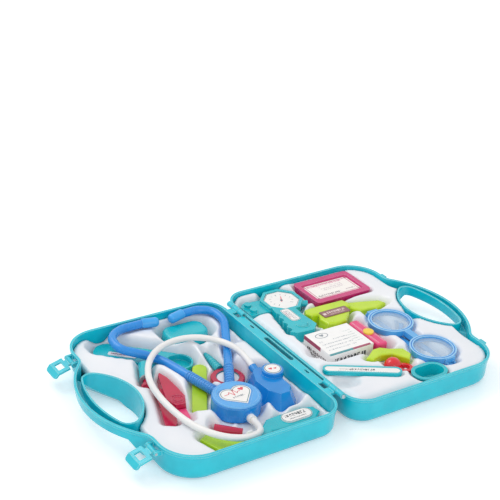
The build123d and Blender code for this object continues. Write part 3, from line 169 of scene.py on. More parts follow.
# ---- White hose ----
# Soft PVC tube, 7.5 mm thick, from the drum's spigot round the lid and back
# into the chest bell. It lies on the tray and on both ear arms.
HOSE = [
    (-101.0, -94.0, 18.5), (-103.0, -110.0, 21.0), (-113.0, -124.5, 25.0), (-132.0, -130.0, 28.5),
    (-151.0, -121.0, 29.6), (-165.5, -101.5, 29.8), (-174.0, -76.0, 29.8), (-177.0, -46.0, 29.8),
    (-176.0, -14.0, 29.8), (-169.0, 18.0, 29.8), (-153.0, 47.0, 29.8), (-131.0, 67.0, 29.8),
    (-103.0, 76.0, 29.8), (-77.0, 71.0, 29.8), (-58.5, 54.0, 29.8), (-47.5, 32.0, 29.6),
    (-44.0, 11.0, 25.5), (-45.0, -5.0, 21.0),
]
HOSE_THICKNESS = 7.5
HOSE_GLOW = 0.004           # metres that light travels inside the PVC

line = bpy.data.curves.new("hose_line", "CURVE")
line.dimensions = "3D"
route = line.splines.new("NURBS")
route.points.add(len(HOSE) - 1)
for point, spot in zip(route.points, HOSE):
    point.co = [v * MM for v in spot] + [1.0]
route.order_u = 3
route.use_endpoint_u = True
route.resolution_u = 12
line.bevel_depth = HOSE_THICKNESS / 2 * MM
line.bevel_resolution = 8
line.use_fill_caps = True
hose = bpy.data.objects.new("white_hose", line)
bpy.context.scene.collection.objects.link(hose)
# Soft PVC, extruded: dull and milky, and light spreads a little below its skin.
soft_pvc = moulded("extruded_soft_pvc", "#F3F1EE", "#E9E8E8", roughness=0.38, flow=30, coat=0.1, edge=0.2, **{
    "Subsurface Weight": 0.15, "Subsurface Radius": [HOSE_GLOW] * 3, "Subsurface Scale": 1.0})
line.materials.append(soft_pvc)
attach(hose, "stethoscope")
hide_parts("hose")

# ---- Trays ----
# Sheets of white polystyrene, vacuum-formed: soft mounds with a well drawn
# down round each instrument, and a skirt that drops beside the shell's wall.
CELL = 1.3                  # the sheet's grid; all sizes of the trays are in millimetres
SHELL_REACH, SHELL_HALF_WIDTH = 222.0, 140.0
FAR_CORNER, HINGE_CORNER = 42.0, 28.0
TRAY_INSET = 4.7
FINGER_TOP, FINGER_BOTTOM = 243.0, 194.0
FINGER_CROWN_RADIUS, FINGER_FLOOR_RADIUS = 136.0, 64.7
FINGER_MARGIN = 3.5
SHEET, LOWEST = 0.6, 3.0                # the sheet's thickness, and the lowest that a well goes
SHOULDER, SHOULDER_FADE = 4.0, 10
SKIRT, SKIRT_FOOT, SHORT_SKIRT = 12.0, 3.2, 1.0
WELL_GAP, LEAST_GAP = 0.5, 0.35         # air under an instrument: as drawn, and after the softening
BARE_SLOPE = 1.4
BANK_WIDTH = 9.0                        # raised bank round the finger opening
HINGE_DROP, NEAR_DROP = 13.0, 11.0      # how far the sheet falls towards the hinge and the near wall
NEAR_DROP_END, NEAR_DROP_FADE = 112, 20
PLEAT_DEPTH, PLEAT_PITCH, CROSS_PITCH = 0.9, 17.0, 21.0
BLEND = 2.0
NOTHING_ABOVE, RAY_START = 99.0, -10.0
BARE_GROUND = {             # hollows beside the instruments: x, y, radius, floor
    "base": [(30.0, -84.0, 9.0, 16.0), (36.0, -20.0, 5.0, 14.0), (112.0, 2.0, 3.0, 14.0),
             (101.0, -58.0, 3.0, 14.0)],
    "lid": [(-106.0, -93.0, 10.0, 9.5), (-86.0, -90.0, 7.0, 9.5), (-58.0, -84.0, 4.0, 9.0),
            (-124.0, -78.0, 5.0, 10.0), (-30.0, 60.0, 5.0, 12.0), (-62.0, 74.0, 6.0, 11.0)],
}
PLUNGER_TRAVEL = Vector((3.85, 8.69, 0.0))      # the well leaves room for the syringe's stroke
PLUNGER_STEPS = 4
BODY_NODES = frame["record"]["behaviour"]["bodies"]
TOOL_BODIES = [body for body in BODY_NODES if body not in ("base", "lid", "latch_near", "latch_far")]


def members(root):
    """Nodes of every instrument that lies in one half."""
    children = [j["child"] for j in frame["joints"] if j["parent"] == root and j["child"] in TOOL_BODIES]
    children += [j["child"] for j in frame["joints"] if j["parent"] in children]
    return [nodes[n] for body in children for n in BODY_NODES[body] if n != "hose"]


def undersides(things, xs, ys):
    """Height of the lowest instrument over each cell, at rest and along the plunger's travel."""
    under = np.full((len(xs), len(ys)), NOTHING_ABOVE)
    up = Vector((0, 0, 1))
    for thing in things:
        low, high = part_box(thing.name)
        data = thing.data
        tree = BVHTree.FromPolygons([v.co for v in data.vertices], [p.vertices[:] for p in data.polygons])
        steps = PLUNGER_STEPS if thing.name == "syringe_plunger" else 0
        for push in [PLUNGER_TRAVEL * (MM * k / max(steps, 1)) for k in range(steps + 1)]:
            for i in np.flatnonzero((xs * MM > low.x + push.x) & (xs * MM < high.x + push.x)):
                for j in np.flatnonzero((ys * MM > low.y + push.y) & (ys * MM < high.y + push.y)):
                    start = Vector((xs[i] * MM - push.x, ys[j] * MM - push.y, RAY_START * MM))
                    hit = tree.ray_cast(start, up)[0]
                    if hit is not None:
                        under[i, j] = min(under[i, j], hit.z / MM)
    return under


def spread(under, clear, slope, reach):
    """The lowest surface that stays clear of the undersides: level for a margin, then a steep wall."""
    out = np.full_like(under, NOTHING_ABOVE)
    steps = int(reach / CELL)
    wide = np.pad(under, steps, constant_values=NOTHING_ABOVE)
    for i in range(-steps, steps + 1):
        for j in range(-steps, steps + 1):
            away = CELL * math.hypot(i, j)
            if away > reach:
                continue
            part = wide[steps + i:steps + i + under.shape[0], steps + j:steps + j + under.shape[1]]
            out = np.minimum(out, part + slope * max(0.0, away - clear))
    return out


def soften(field, rounds):
    """Blurs a height field with its eight neighbours."""
    for _ in range(rounds):
        wide = np.pad(field, 1, mode="edge")
        field = (
            4 * wide[1:-1, 1:-1] + 2 * (wide[:-2, 1:-1] + wide[2:, 1:-1] + wide[1:-1, :-2] + wide[1:-1, 2:])
            + wide[:-2, :-2] + wide[2:, 2:] + wide[:-2, 2:] + wide[2:, :-2]) / 16
    return field


def finger_distance(x, y):
    """Distance outside the finger opening, which is a lens of two arcs."""
    crown = np.hypot(x - (FINGER_TOP - FINGER_CROWN_RADIUS), y) - FINGER_CROWN_RADIUS
    floor = np.hypot(x - (FINGER_BOTTOM + FINGER_FLOOR_RADIUS), y) - FINGER_FLOOR_RADIUS
    return np.maximum(crown, floor)


def edge_distance(x, y, hinge_gap):
    """Distance inside the tray's edge: a rounded oblong less the finger opening."""
    near, far, half = hinge_gap + TRAY_INSET, SHELL_REACH - TRAY_INSET, SHELL_HALF_WIDTH - TRAY_INSET
    corner = np.where(x > (near + far) / 2, FAR_CORNER, HINGE_CORNER) - TRAY_INSET
    qx = np.abs(x - (near + far) / 2) - ((far - near) / 2 - corner)
    qy = np.abs(y) - (half - corner)
    box = np.hypot(np.maximum(qx, 0), np.maximum(qy, 0)) + np.minimum(np.maximum(qx, qy), 0) - corner
    return np.minimum(-box, finger_distance(x, y) - FINGER_MARGIN)


def fall(away, width, depth):
    """Drop of a rounded slope that starts this far inside an edge."""
    return depth * np.clip(1 - away / width, 0, 1) ** 1.6


def tray_heights(half, under, x, y, inside, hinge_gap, top, bank, hinge_slope, near_slope):
    """Height field of the sheet: crests and pleats between the wells, walls down to them, and a
    rounded shoulder along the edge."""
    wall = spread(under, clear=1.8, slope=2.6, reach=12.0) - WELL_GAP
    limit = spread(under, clear=1.2, slope=6.0, reach=6.0) - LEAST_GAP
    for spot_x, spot_y, radius, floor in BARE_GROUND[half]:
        away = np.hypot(x - abs(spot_x), y - spot_y) - radius
        wall = np.minimum(wall, floor + BARE_SLOPE * np.maximum(away, 0))
    crest = top + bank * np.exp(-(np.maximum(finger_distance(x, y) - FINGER_MARGIN, 0) / BANK_WIDTH) ** 2)
    crest -= fall(x - hinge_gap - TRAY_INSET, hinge_slope, HINGE_DROP)
    fade = np.clip((NEAR_DROP_END - x) / NEAR_DROP_FADE, 0, 1)
    crest -= fall(y + SHELL_HALF_WIDTH - TRAY_INSET, near_slope, NEAR_DROP) * fade
    # Pleats: narrow slanting creases, only where the sheet has fallen well below its top.
    pleat = np.cos(2 * np.pi * (x + 0.4 * y) / PLEAT_PITCH) ** 12
    pleat += np.cos(2 * np.pi * (y - 0.3 * x) / CROSS_PITCH) ** 14
    crest -= PLEAT_DEPTH * pleat * np.clip((top - 1.5 - crest) / 6, 0, 1)
    # The lower of wall and crest, with a round fold between them.
    field = -BLEND * np.log(np.exp(-wall / BLEND) + np.exp(-crest / BLEND))
    field = np.maximum(field, LOWEST)
    field = np.minimum(soften(field, 3), limit)
    field = np.maximum(soften(field, 1), LOWEST)
    rise = SHOULDER - np.clip(inside, 0, SHOULDER)
    drop = SHOULDER - np.sqrt(SHOULDER ** 2 - rise ** 2)
    return field - drop * np.clip((field - SHOULDER_FADE) / SHOULDER_FADE, 0, 1)


def trim(vert, side, hinge_gap):
    """Moves a vertex of the sheet's edge onto the tray's true outline."""
    nudge, nothing = 0.1, 1e-6
    for _ in range(4):
        px, py = abs(vert.co.x) / MM, vert.co.y / MM
        here = float(edge_distance(np.array(px), np.array(py), hinge_gap))
        dx = float(edge_distance(np.array(px + nudge), np.array(py), hinge_gap)) - here
        dy = float(edge_distance(np.array(px), np.array(py + nudge), hinge_gap)) - here
        size = max(math.hypot(dx, dy), nothing)
        vert.co.x -= side * here * dx / size * MM
        vert.co.y -= here * dy / size * MM


def piece(name, mesh, body, material, smooth=False):
    """Turns a finished mesh into an object that rides on a body."""
    data = bpy.data.meshes.new(name)
    mesh.to_mesh(data)
    mesh.free()
    if smooth:
        data.polygons.foreach_set("use_smooth", [True] * len(data.polygons))
    data.materials.append(material)
    made = bpy.data.objects.new(name, data)
    bpy.context.scene.collection.objects.link(made)
    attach(made, body)
    return made


def formed_tray(half, hinge_gap, **shape):
    """Sheet over one half's plan, trimmed to its edge and given a skirt."""
    side = 1 if half == "base" else -1
    xs = np.arange(0.0, SHELL_REACH, CELL)
    ys = np.arange(-SHELL_HALF_WIDTH, SHELL_HALF_WIDTH + CELL, CELL)
    x, y = np.meshgrid(xs, ys, indexing="ij")
    inside = edge_distance(x, y, hinge_gap)
    field = tray_heights(half, undersides(members(half), xs * side, ys), x, y, inside, hinge_gap, **shape)
    mesh = bmesh.new()
    spots = {}
    keep = inside > 0
    cells = keep[:-1, :-1] & keep[1:, :-1] & keep[1:, 1:] & keep[:-1, 1:]
    for i, j in zip(*np.nonzero(cells)):
        corners = [(i, j), (i + 1, j), (i + 1, j + 1), (i, j + 1)]
        for c in corners:
            if c not in spots:
                spots[c] = mesh.verts.new((side * xs[c[0]] * MM, ys[c[1]] * MM, field[c] * MM))
        mesh.faces.new([spots[c] for c in corners[::side]])
    for vert in [v for v in mesh.verts if v.is_boundary]:
        trim(vert, side, hinge_gap)
    rim = [e for e in mesh.edges if e.is_boundary]
    for vert in bmesh.ops.extrude_edge_only(mesh, edges=rim)["geom"]:
        if isinstance(vert, bmesh.types.BMVert):
            height = vert.co.z
            deep = height > (SKIRT + LOWEST + 1) * MM
            vert.co.z = max(height - SKIRT * MM, SKIRT_FOOT * MM) if deep else height - SHORT_SKIRT * MM
    bmesh.ops.recalc_face_normals(mesh, faces=mesh.faces)
    tray = piece(half + "_formed_tray", mesh, half, polystyrene, smooth=True)
    thick = tray.modifiers.new("sheet", "SOLIDIFY")
    thick.thickness = SHEET * MM
    thick.offset = -1
    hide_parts(half + "_tray")


# Polystyrene, vacuum-formed: a smooth, cool white with a soft shine.
polystyrene = moulded("vacuum_formed_polystyrene", "#F0F1F5", "#E9ECF2", roughness=0.34, flow=40,
                      coat=0.15, edge=0.2)
formed_tray("base", hinge_gap=2.5, top=28.3, bank=3.2, hinge_slope=17.0, near_slope=15.0)
formed_tray("lid", hinge_gap=10.0, top=24.8, bank=0.8, hinge_slope=12.0, near_slope=7.0)

# ---- Stethoscope ----
# Hollow polypropylene mouldings: deep blue drum, ear arms and bell, lighter
# cap. The heart and the bell's badge are printed card under a clear film.
PRINT_DEPTH = 0.5           # a printed window marks only the face that it lies on
INK = 0.06                  # height of a printed shape over its card
STROKE_SHARE = 0.8          # share of a printed row: strokes less their spaces,
MARKED_SHARE = 0.62         # parts of a stroke that are inked,
WORD, WORD_SHARE = 5, 0.86  # and groups of five strokes that are there
HEART_PLATE_PLACE, HEART_PLATE_TURN = (-99.0, -53.0), 4.0
PULSE = [(-14, 1), (-8, 1), (-6, 4), (-3, -4), (-0.5, 7), (2, -1), (4, 1), (7, 1)]


def top_middle(node, dx=0.0, dy=0.0):
    """Middle of a node's top in millimetres, or a place beside it."""
    low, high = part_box(node)
    return [(low.x + high.x) / 2 / MM + dx, (low.y + high.y) / 2 / MM + dy, high.z / MM]


def half_width(node):
    """Half of a node's size along x, in millimetres."""
    low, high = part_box(node)
    return (high.x - low.x) / 2 / MM


def along(material, value, size, kind):
    """Which step of a size a value is in, with FLOOR, or how far along that step it is, with FRACT."""
    steps = add(material, "ShaderNodeMath", {0: value, 1: size}, operation="DIVIDE")
    return add(material, "ShaderNodeMath", {0: steps.outputs[0]}, operation=kind).outputs[0]


def print_mask(material, middle, size, rows=None, turn=0.0, axes="XY"):
    """Mask of a printed window: solid, or rows of small strokes in word-like groups that spell nothing.
    rows gives their pitch, the inked share of it, and the width of a stroke with its space."""
    place = add(material, "ShaderNodeTexCoord").outputs["Object"]
    local = add(material, "ShaderNodeMapping", {
        "Vector": place, "Location": [m * MM for m in middle], "Rotation": (0, 0, math.radians(turn)),
        "Scale": (MM, MM, MM)}, vector_type="TEXTURE")
    parts = add(material, "ShaderNodeSeparateXYZ", {0: local.outputs[0]})
    across, up = parts.outputs[axes[0]], parts.outputs[axes[1]]
    depth = parts.outputs[(set("XYZ") - set(axes)).pop()]
    limits = []
    for value, half in ((across, size[0] / 2), (up, size[1] / 2), (depth, PRINT_DEPTH)):
        away = add(material, "ShaderNodeMath", {0: value}, operation="ABSOLUTE")
        limits.append((away.outputs[0], half))
    if rows:
        pitch, fill, letter = rows
        limits.append((along(material, up, pitch, "FRACT"), fill))
        limits.append((along(material, across, letter, "FRACT"), STROKE_SHARE))
        for width, height, share in (
                (letter / 3, pitch * fill / 3, MARKED_SHARE), (letter * WORD, pitch, WORD_SHARE)):
            cell = add(material, "ShaderNodeCombineXYZ", {
                "X": along(material, across, width, "FLOOR"), "Y": along(material, up, height, "FLOOR"),
                "Z": along(material, up, pitch, "FLOOR")})
            chance = add(material, "ShaderNodeTexWhiteNoise", {"Vector": cell.outputs[0]})
            limits.append((chance.outputs["Value"], share))
    masks = [add(material, "ShaderNodeMath", {0: value, 1: most}, operation="LESS_THAN").outputs[0]
             for value, most in limits]
    shown = masks[0]
    for mask in masks[1:]:
        shown = add(material, "ShaderNodeMath", {0: shown, 1: mask}, operation="MULTIPLY").outputs[0]
    return shown


def inked(*windows):
    """Lays printed windows over a material's colour, each given as its ink and its place."""
    def lay(material, colour):
        for ink, *place in windows:
            mix = add(material, "ShaderNodeMix", {
                "Factor": print_mask(material, *place), "A": colour, "B": linear(ink)}, data_type="RGBA")
            colour = mix.outputs["Result"]
        return colour
    return lay


def card(name, over=None, colour="#F7F4F1", shade="#F1EEEC"):
    """Coated card or an ink on it, printed by offset: smooth, an even half shine, hardly any grain."""
    return moulded(name, colour, shade, roughness=0.36, flow=6, coat=0.4, edge=0.2, over=over)


def border(name, node, body, material, inset, width):
    """Printed line that follows the outline of a plate's top face."""
    mesh = bmesh.new()
    mesh.from_mesh(nodes[node].data)
    bmesh.ops.remove_doubles(mesh, verts=mesh.verts, dist=0.001 * MM)
    top = max(v.co.z for v in mesh.verts)
    rest = [f for f in mesh.faces if min(v.co.z for v in f.verts) < top - 0.02 * MM]
    bmesh.ops.delete(mesh, geom=rest, context="FACES")
    plate = bmesh.ops.dissolve_faces(mesh, faces=mesh.faces[:])["region"]
    even = {"use_boundary": True, "use_even_offset": True}
    bmesh.ops.inset_region(mesh, faces=plate, thickness=inset * MM, **even)
    bmesh.ops.delete(mesh, geom=[f for f in mesh.faces if f not in plate], context="FACES")
    bmesh.ops.inset_region(mesh, faces=plate, thickness=width * MM, **even)
    bmesh.ops.delete(mesh, geom=plate, context="FACES")
    bmesh.ops.translate(mesh, verts=mesh.verts, vec=(0, 0, INK * MM))
    piece(name, mesh, body, material)


def ink_shapes(name, shapes, height, body, material, middle=(0.0, 0.0), turn=0.0, side=1):
    """Thin printed shapes on one level, each a flat outline in millimetres. side is -1 where they
    face down."""
    mesh = bmesh.new()
    c, s = math.cos(math.radians(turn)), math.sin(math.radians(turn))
    for outline in shapes:
        spots = [(middle[0] + x * c - y * s, middle[1] + x * s + y * c, height) for x, y in outline]
        face = mesh.faces.new([mesh.verts.new([v * MM for v in spot]) for spot in spots])
        face.normal_update()
        if face.normal.z * side < 0:
            face.normal_flip()
    piece(name, mesh, body, material)


def ring(x, y, radius, sides=36):
    """Circle as a closed outline."""
    return [(x + radius * math.cos(math.tau * i / sides), y + radius * math.sin(math.tau * i / sides))
            for i in range(sides)]


def hoop(outer, inner):
    """Strip between two closed outlines."""
    turns = [(i, (i + 1) % len(outer)) for i in range(len(outer))]
    return [[outer[i], outer[k], inner[k], inner[i]] for i, k in turns]


def stroke(points, width):
    """Line of even width through points: an oblong for each run, and a disc at each bend."""
    shapes = []
    for (ax, ay), (bx, by) in zip(points, points[1:]):
        long = math.hypot(bx - ax, by - ay)
        nx, ny = -(by - ay) / long * width / 2, (bx - ax) / long * width / 2
        shapes.append([(ax + nx, ay + ny), (bx + nx, by + ny), (bx - nx, by - ny), (ax - nx, ay - ny)])
    return shapes + [ring(x, y, width / 2, 12) for x, y in points[1:-1]]


def heart(x, y, width):
    """Plump heart, drawn from the usual sum of cosines, its point towards -y."""
    outline = []
    for i in range(40):
        t = math.tau * i / 40
        outline.append((x + width / 32 * 16 * math.sin(t) ** 3, y + width / 32 * (
            13 * math.cos(t) - 5 * math.cos(2 * t) - 2 * math.cos(3 * t) - math.cos(4 * t))))
    return outline


def bead_ring(name, radius, thick, middle, body, material):
    """Raised line of round section that runs in a circle."""
    sides, steps = 64, 12
    mesh = bmesh.new()
    centre = Vector([v * MM for v in middle])
    loops = []
    for turn in [math.tau * i / sides for i in range(sides)]:
        loops.append([])
        for lap in [math.tau * k / steps for k in range(steps)]:
            out, rise = radius + thick * math.cos(lap), thick * math.sin(lap)
            spot = Vector((out * math.cos(turn) * MM, out * math.sin(turn) * MM, rise * MM))
            loops[-1].append(mesh.verts.new(centre + spot))
    for i in range(sides):
        here, after = loops[i], loops[(i + 1) % sides]
        for k in range(steps):
            n = (k + 1) % steps
            mesh.faces.new((here[k], here[n], after[n], after[k]))
    bmesh.ops.recalc_face_normals(mesh, faces=mesh.faces)
    piece(name, mesh, body, material, smooth=True)


# Polypropylene: a soft, slightly waxy shine, and a painted highlight in a paler blue along each rounded edge.
deep_blue = moulded("moulded_pp_blue", "#2092E4", "#1686DA", rim="#86C6F6", roughness=0.27, edge=0.8)
bell_blue = moulded("moulded_pp_royal_blue", "#168EDC", "#1084D2", rim="#69B4F4", roughness=0.22, edge=0.8)
light_blue = moulded("moulded_pp_light_blue", "#5AAEEE", "#4EA4E8", rim="#A8DAFB", roughness=0.27, edge=0.9)
# Soft rubber-like elastomer: the same blue with a duller, broader shine, and a painted highlight along its
# rounded edges.
ear_tip_blue = moulded("moulded_tpe_blue", "#3DA9F0", "#339FE8", rim="#9AD2F8", roughness=0.32, edge=0.8)
# White ABS of the hose's plug: plain and half glossy.
white_moulded = moulded("moulded_abs_white", "#F3F2EF", "#EBEBEB", roughness=0.32)
paint(deep_blue, "stethoscope_drum", "ear_arm_left", "ear_arm_right")
paint(ear_tip_blue, "ear_tips")
paint(bell_blue, "chest_bell")
paint(light_blue, "stethoscope_cap")
paint(white_moulded, "hose_plug")
# Offset inks on card: flat, even colour.
outline_ink = card("printed_line_dark_teal", colour="#3E7F8C", shade="#38747F")
red_ink = card("printed_mark_red", colour="#E4475A", shade="#DC3D50")

heart_plate = (*HEART_PLATE_PLACE, top_middle("stethoscope_heart_plate")[2])
heart_words = (heart_plate[0], heart_plate[1] - 7.5, heart_plate[2])
paint(card("printed_heart_card", inked(
    ("#75808A", heart_words, (15, 3), (3.0, 0.99, 2.4), HEART_PLATE_TURN))), "stethoscope_heart_plate")
border("heart_plate_line", "stethoscope_heart_plate", "stethoscope", outline_ink, 1.1, 0.8)
ink_shapes("heart_plate_pulse", stroke(PULSE, 0.9), heart_plate[2] + INK, "stethoscope", red_ink,
           heart_plate, HEART_PLATE_TURN)
ink_shapes("heart_plate_small_heart", [heart(10, 3.5, 7)], heart_plate[2] + INK, "stethoscope", red_ink,
           heart_plate, HEART_PLATE_TURN)
paint(card("printed_badge_card"), "chest_badge")
border("chest_badge_line", "chest_badge", "stethoscope", outline_ink, 0.5, 0.9)
badge = top_middle("chest_badge")
ink_shapes("chest_badge_hearts", [heart(-2.6, 0.6, 4.6), heart(2.8, -0.8, 3.6)], badge[2] + INK,
           "stethoscope", red_ink, badge)
hub = top_middle("stethoscope_cap")
bead_ring("drum_cap_bead", half_width("stethoscope_cap") - 3.2, 0.7, (hub[0], hub[1], hub[2] - 0.35),
          "stethoscope", light_blue)

# ---- Plain lid instruments ----
# Mouldings in solid colours that lie loose in the lid's wells: medicine cup,
# syringe, tweezers, tongue stick, pad and dropper.

# ABS: glossy and deep in colour, with a painted highlight in a paler tint along each rounded edge.
teal = moulded("moulded_abs_teal", "#08C0CC", "#06B4C2", rim="#86ECEE", roughness=0.26, edge=0.8)
crimson = moulded("moulded_abs_crimson", "#C40444", "#B8023C", rim="#E06088", roughness=0.2, edge=0.7)
lime = moulded("moulded_abs_lime", "#B0DA14", "#A2CE0A", rim="#E0F58C", roughness=0.26, edge=0.8)
stick_lime = moulded("moulded_abs_pale_lime", "#C4E22C", "#9CCA0C", rim="#E2F48E", roughness=0.28, flow=40,
                     edge=0.8)
# Polypropylene: softer and slightly waxy; the pink has a painted highlight along its edges.
pink = moulded("moulded_pp_pink", "#EA4480", "#E23A76", rim="#F8A3C2", roughness=0.3, edge=0.6)
grey = moulded("moulded_pp_grey", "#8F979E", "#878F96", roughness=0.35)
paint(teal, "medicine_cup", "syringe_barrel")
paint(crimson, "syringe_plunger", "tweezers", "dropper")
paint(pink, "tweezer_tail")
paint(stick_lime, "tongue_stick")
paint(lime, "lime_pad")
paint(grey, "syringe_collar")

# ---- Hand mirror ----
# Crimson ABS frame on a teal stalk. Its glass is a polystyrene disc whose silvery
# face is painted nearly white, a painted reflection, held by a thin polypropylene bezel.

# Polished polystyrene: nearly white, a painted reflection in place of a mirror's, with sharp reflections from
# its glossy coat.
mirror_painted_reflection = moulded("moulded_ps_painted_reflection", "#F4F6F7", "#EEF1F3", roughness=0.12, coat=0.8)
# Polypropylene bezel: dull grey-teal.
bezel = moulded("moulded_pp_grey_teal", "#5E9AA0", "#558F96", roughness=0.3)
paint(crimson, "mirror_frame")
paint(teal, "mirror_stalk")
paint(mirror_painted_reflection, "mirror_glass")
mirror = top_middle("mirror_glass")
bead_ring("mirror_bezel", half_width("mirror_glass") + 0.2, 0.9, (mirror[0], mirror[1], mirror[2] + 0.2),
          "lid", bezel)

# ---- Ear scope and probe ----
# Two teal ABS mouldings, each with a white plate of printed card glued into
# a shallow recess. The plates carry rows of plain strokes.
SCOPE_TURN = -43.0
paint(teal, "ear_scope", "probe")
paint(card("printed_scope_card", inked(
    ("#D83A4E", top_middle("ear_scope_plate"), (28, 2.2), (2.2, 0.99, 2.0), SCOPE_TURN),
    ("#3C454C", top_middle("ear_scope_plate", -3.5, 3.2), (14, 1.8), (1.8, 0.99, 1.6), SCOPE_TURN))),
    "ear_scope_plate")
paint(card("printed_probe_card", inked(
    ("#333A40", top_middle("probe_plate", -1, 2.2), (26, 5), (5.0, 0.99, 3.6)),
    ("#59636B", top_middle("probe_plate", -1, -3.6), (22, 1.6), (1.6, 0.99, 1.5)))), "probe_plate")
border("probe_plate_line", "probe_plate", "lid", outline_ink, 0.4, 0.7)

# ---- Blood-pressure gauge ----
# Teal ABS body with a printed dial behind its octagonal rim: eleven ticks and
# a red needle. A small plate and a moulded thumb mark sit on the grip.
DIAL_REACH = 15.5
LONG_TICK, SHORT_TICK = 4.0, 2.2
NEEDLE = [(-3.5, -1.1), (-3.5, 1.1), (11.0, 0.25), (11.0, -0.25)]
NEEDLE_TURN = 62
THUMB_RADIUS, THUMB_PLACE = 7.5, (57.0, 41.0)
paint(teal, "gauge")
paint(card("printed_dial_card"), "gauge_dial")
border("dial_line", "gauge_dial", "gauge", outline_ink, 0.6, 0.6)
ticks = []
for step in range(11):
    angle = math.radians(225 - 27 * step)
    start = DIAL_REACH - (SHORT_TICK if step % 5 else LONG_TICK)
    ticks += stroke([(r * math.cos(angle), r * math.sin(angle)) for r in (start, DIAL_REACH)], 0.7)
dial = top_middle("gauge_dial")
ink_shapes("dial_ticks", ticks, dial[2] + INK, "gauge", outline_ink, dial)
ink_shapes("dial_needle", [NEEDLE], dial[2] + 2 * INK, "gauge", red_ink, dial, NEEDLE_TURN)
ink_shapes("dial_boss", [ring(0, 0, 1.8)], dial[2] + 3 * INK, "gauge", outline_ink, dial)
paint(card("printed_gauge_card", inked(
    ("#7C8A94", top_middle("gauge_plate", 0, -1), (22, 7), (2.3, 0.55, 2.0), 90),
    ("#B05A7C", top_middle("gauge_plate", -3.4, 2), (16, 1.5), (1.5, 0.99, 1.8), 90))), "gauge_plate")
border("gauge_plate_line", "gauge_plate", "gauge", outline_ink, 0.5, 0.6)
# The thumb mark's raised ABS edge: a paler teal, because it catches the light.
teal_edge = moulded("moulded_abs_teal_edge", "#5FE0E4", "#56D8DE", roughness=0.26)
thumb = [(THUMB_RADIUS * math.cos(math.radians(a)), THUMB_RADIUS * math.sin(math.radians(a)))
         for a in range(190, 351, 10)]
ink_shapes("gauge_thumb_arc", stroke(thumb, 0.9), top_middle("gauge")[2] + INK, "gauge", teal_edge,
           THUMB_PLACE)

# ---- Message board ----
# Magenta ABS frame round a cream card, which is printed with a ruled border
# and faint rows of strokes.

# ABS: glossy, with a painted highlight in pale pink along its edges.
magenta = moulded("moulded_abs_magenta", "#CE2E78", "#C3246C", rim="#F0A0C8", roughness=0.27, edge=0.8)
# Offset ink: an even pink line.
board_ink = card("printed_line_magenta", colour="#C9447F", shade="#C13C77")
paint(magenta, "board_frame")
paint(card("printed_board_card", inked(
    ("#D8709C", top_middle("board_card", -4, 13.5), (54, 3.2), (3.2, 0.9, 2.6)),
    ("#C9B7C2", top_middle("board_card", 2, 3), (34, 11), (3.6, 0.5, 3.0)),
    ("#7D6470", top_middle("board_card", -12, -11.5), (36, 3.4), (3.4, 0.95, 2.8)),
    ("#8D7480", top_middle("board_card", 22, -10), (14, 2.0), (2.0, 0.95, 2.0))), "#FBF6F0", "#F6F1EB"),
    "board_card")
border("board_card_line", "board_card", "board", board_ink, 2.2, 0.9)

# ---- Torch and spatula ----
# Yellow-lime ABS mouldings. The torch has a brown printed plate, with a
# square mark and two rows of strokes, stuck on its head.

# ABS: glossy, with a painted highlight, nearly yellow, along its edges.
torch_lime = moulded("moulded_abs_yellow_lime", "#C6E228", "#B6D812", rim="#E8F69A", roughness=0.26, edge=0.8)
# Offset ink: a thin dark line that frames the plate.
maroon_ink = card("printed_line_maroon", colour="#5E3238", shade="#562C32")
paint(torch_lime, "torch", "spatula")
paint(card("printed_torch_card", inked(
    ("#E6D3CE", top_middle("torch_plate", 2, 1.4), (27, 4.0), (4.0, 0.99, 3.2)),
    ("#D8BDB8", top_middle("torch_plate", 2, -3.2), (22, 1.6), (1.6, 0.99, 1.6)),
    ("#E6D3CE", top_middle("torch_plate", -15.5, 0), (4.2, 4.2))), "#94605F", "#8A5656"), "torch_plate")
border("torch_plate_line", "torch_plate", "torch", maroon_ink, 0.3, 0.6)

# ---- Carton ----
# Folding board, cut, printed and glued into a closed box. It is white, with
# coloured bands along its edges, rows of strokes, and a heart in an oval.
TEAL_BAND, ROSE_BAND = "#2B8F97", "#A3305A"
left, near, _ = [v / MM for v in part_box("carton")[0]]
_, far, top = [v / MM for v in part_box("carton")[1]]
paint(card("printed_carton_board", inked(
    (TEAL_BAND, (left + 17, near + 1.6, top), (34, 3.4)),
    (ROSE_BAND, (left + 47, near + 1.6, top), (26, 3.4)),
    (ROSE_BAND, (left, far - 17, top - 2.5), (34, 5.0), None, 0, "YZ"),
    ("#4A3B44", (left, top_middle("carton", 0, -3)[1], top - 13.5), (44, 9), (4.5, 0.8, 4.0), 0, "YZ"),
    ("#2B2F38", (left + 30, near, top - 11), (46, 9), (9.0, 0.99, 5.0), 0, "XZ"),
    (TEAL_BAND, (left + 40, near, top - 19), (30, 2.6), (2.6, 0.99, 2.2), 0, "XZ"),
    ("#A9B1B6", top_middle("carton", -6, -4), (40, 26), (6.5, 0.3, 3.0)),
    ("#B8C8C4", top_middle("carton", 20, 2), (12, 30), (5.0, 0.35, 2.4))), "#FAF9F7", "#F5F4F3"), "carton")
# Offset ink: an even light grey.
grey_ink = card("printed_mark_grey", colour="#8F9AA2", shade="#87929A")
oval, inner_oval = [[(a * x, b * y) for x, y in ring(0, 0, 1)] for a, b in ((9.0, 5.5), (7.9, 4.5))]
ink_shapes("carton_emblem", hoop(oval, inner_oval) + [heart(0, 0.4, 6)], top + INK, "carton", grey_ink,
           (left + 18, far - 11))

# ---- Bandage roll ----
# Pink polypropylene roll that stands for a wound bandage, with a yellow ABS
# cap on top. Pale lines show the edges of its wraps.
WRAP_PLACES = (-5.2, -4.0, 4.0, 5.2)
WRAP_HALF = 27

# ABS: glossy warm yellow, with a painted highlight in a paler yellow along its edges.
yellow = moulded("moulded_abs_yellow", "#F6D23C", "#F0C82E", rim="#FBE890", roughness=0.28)
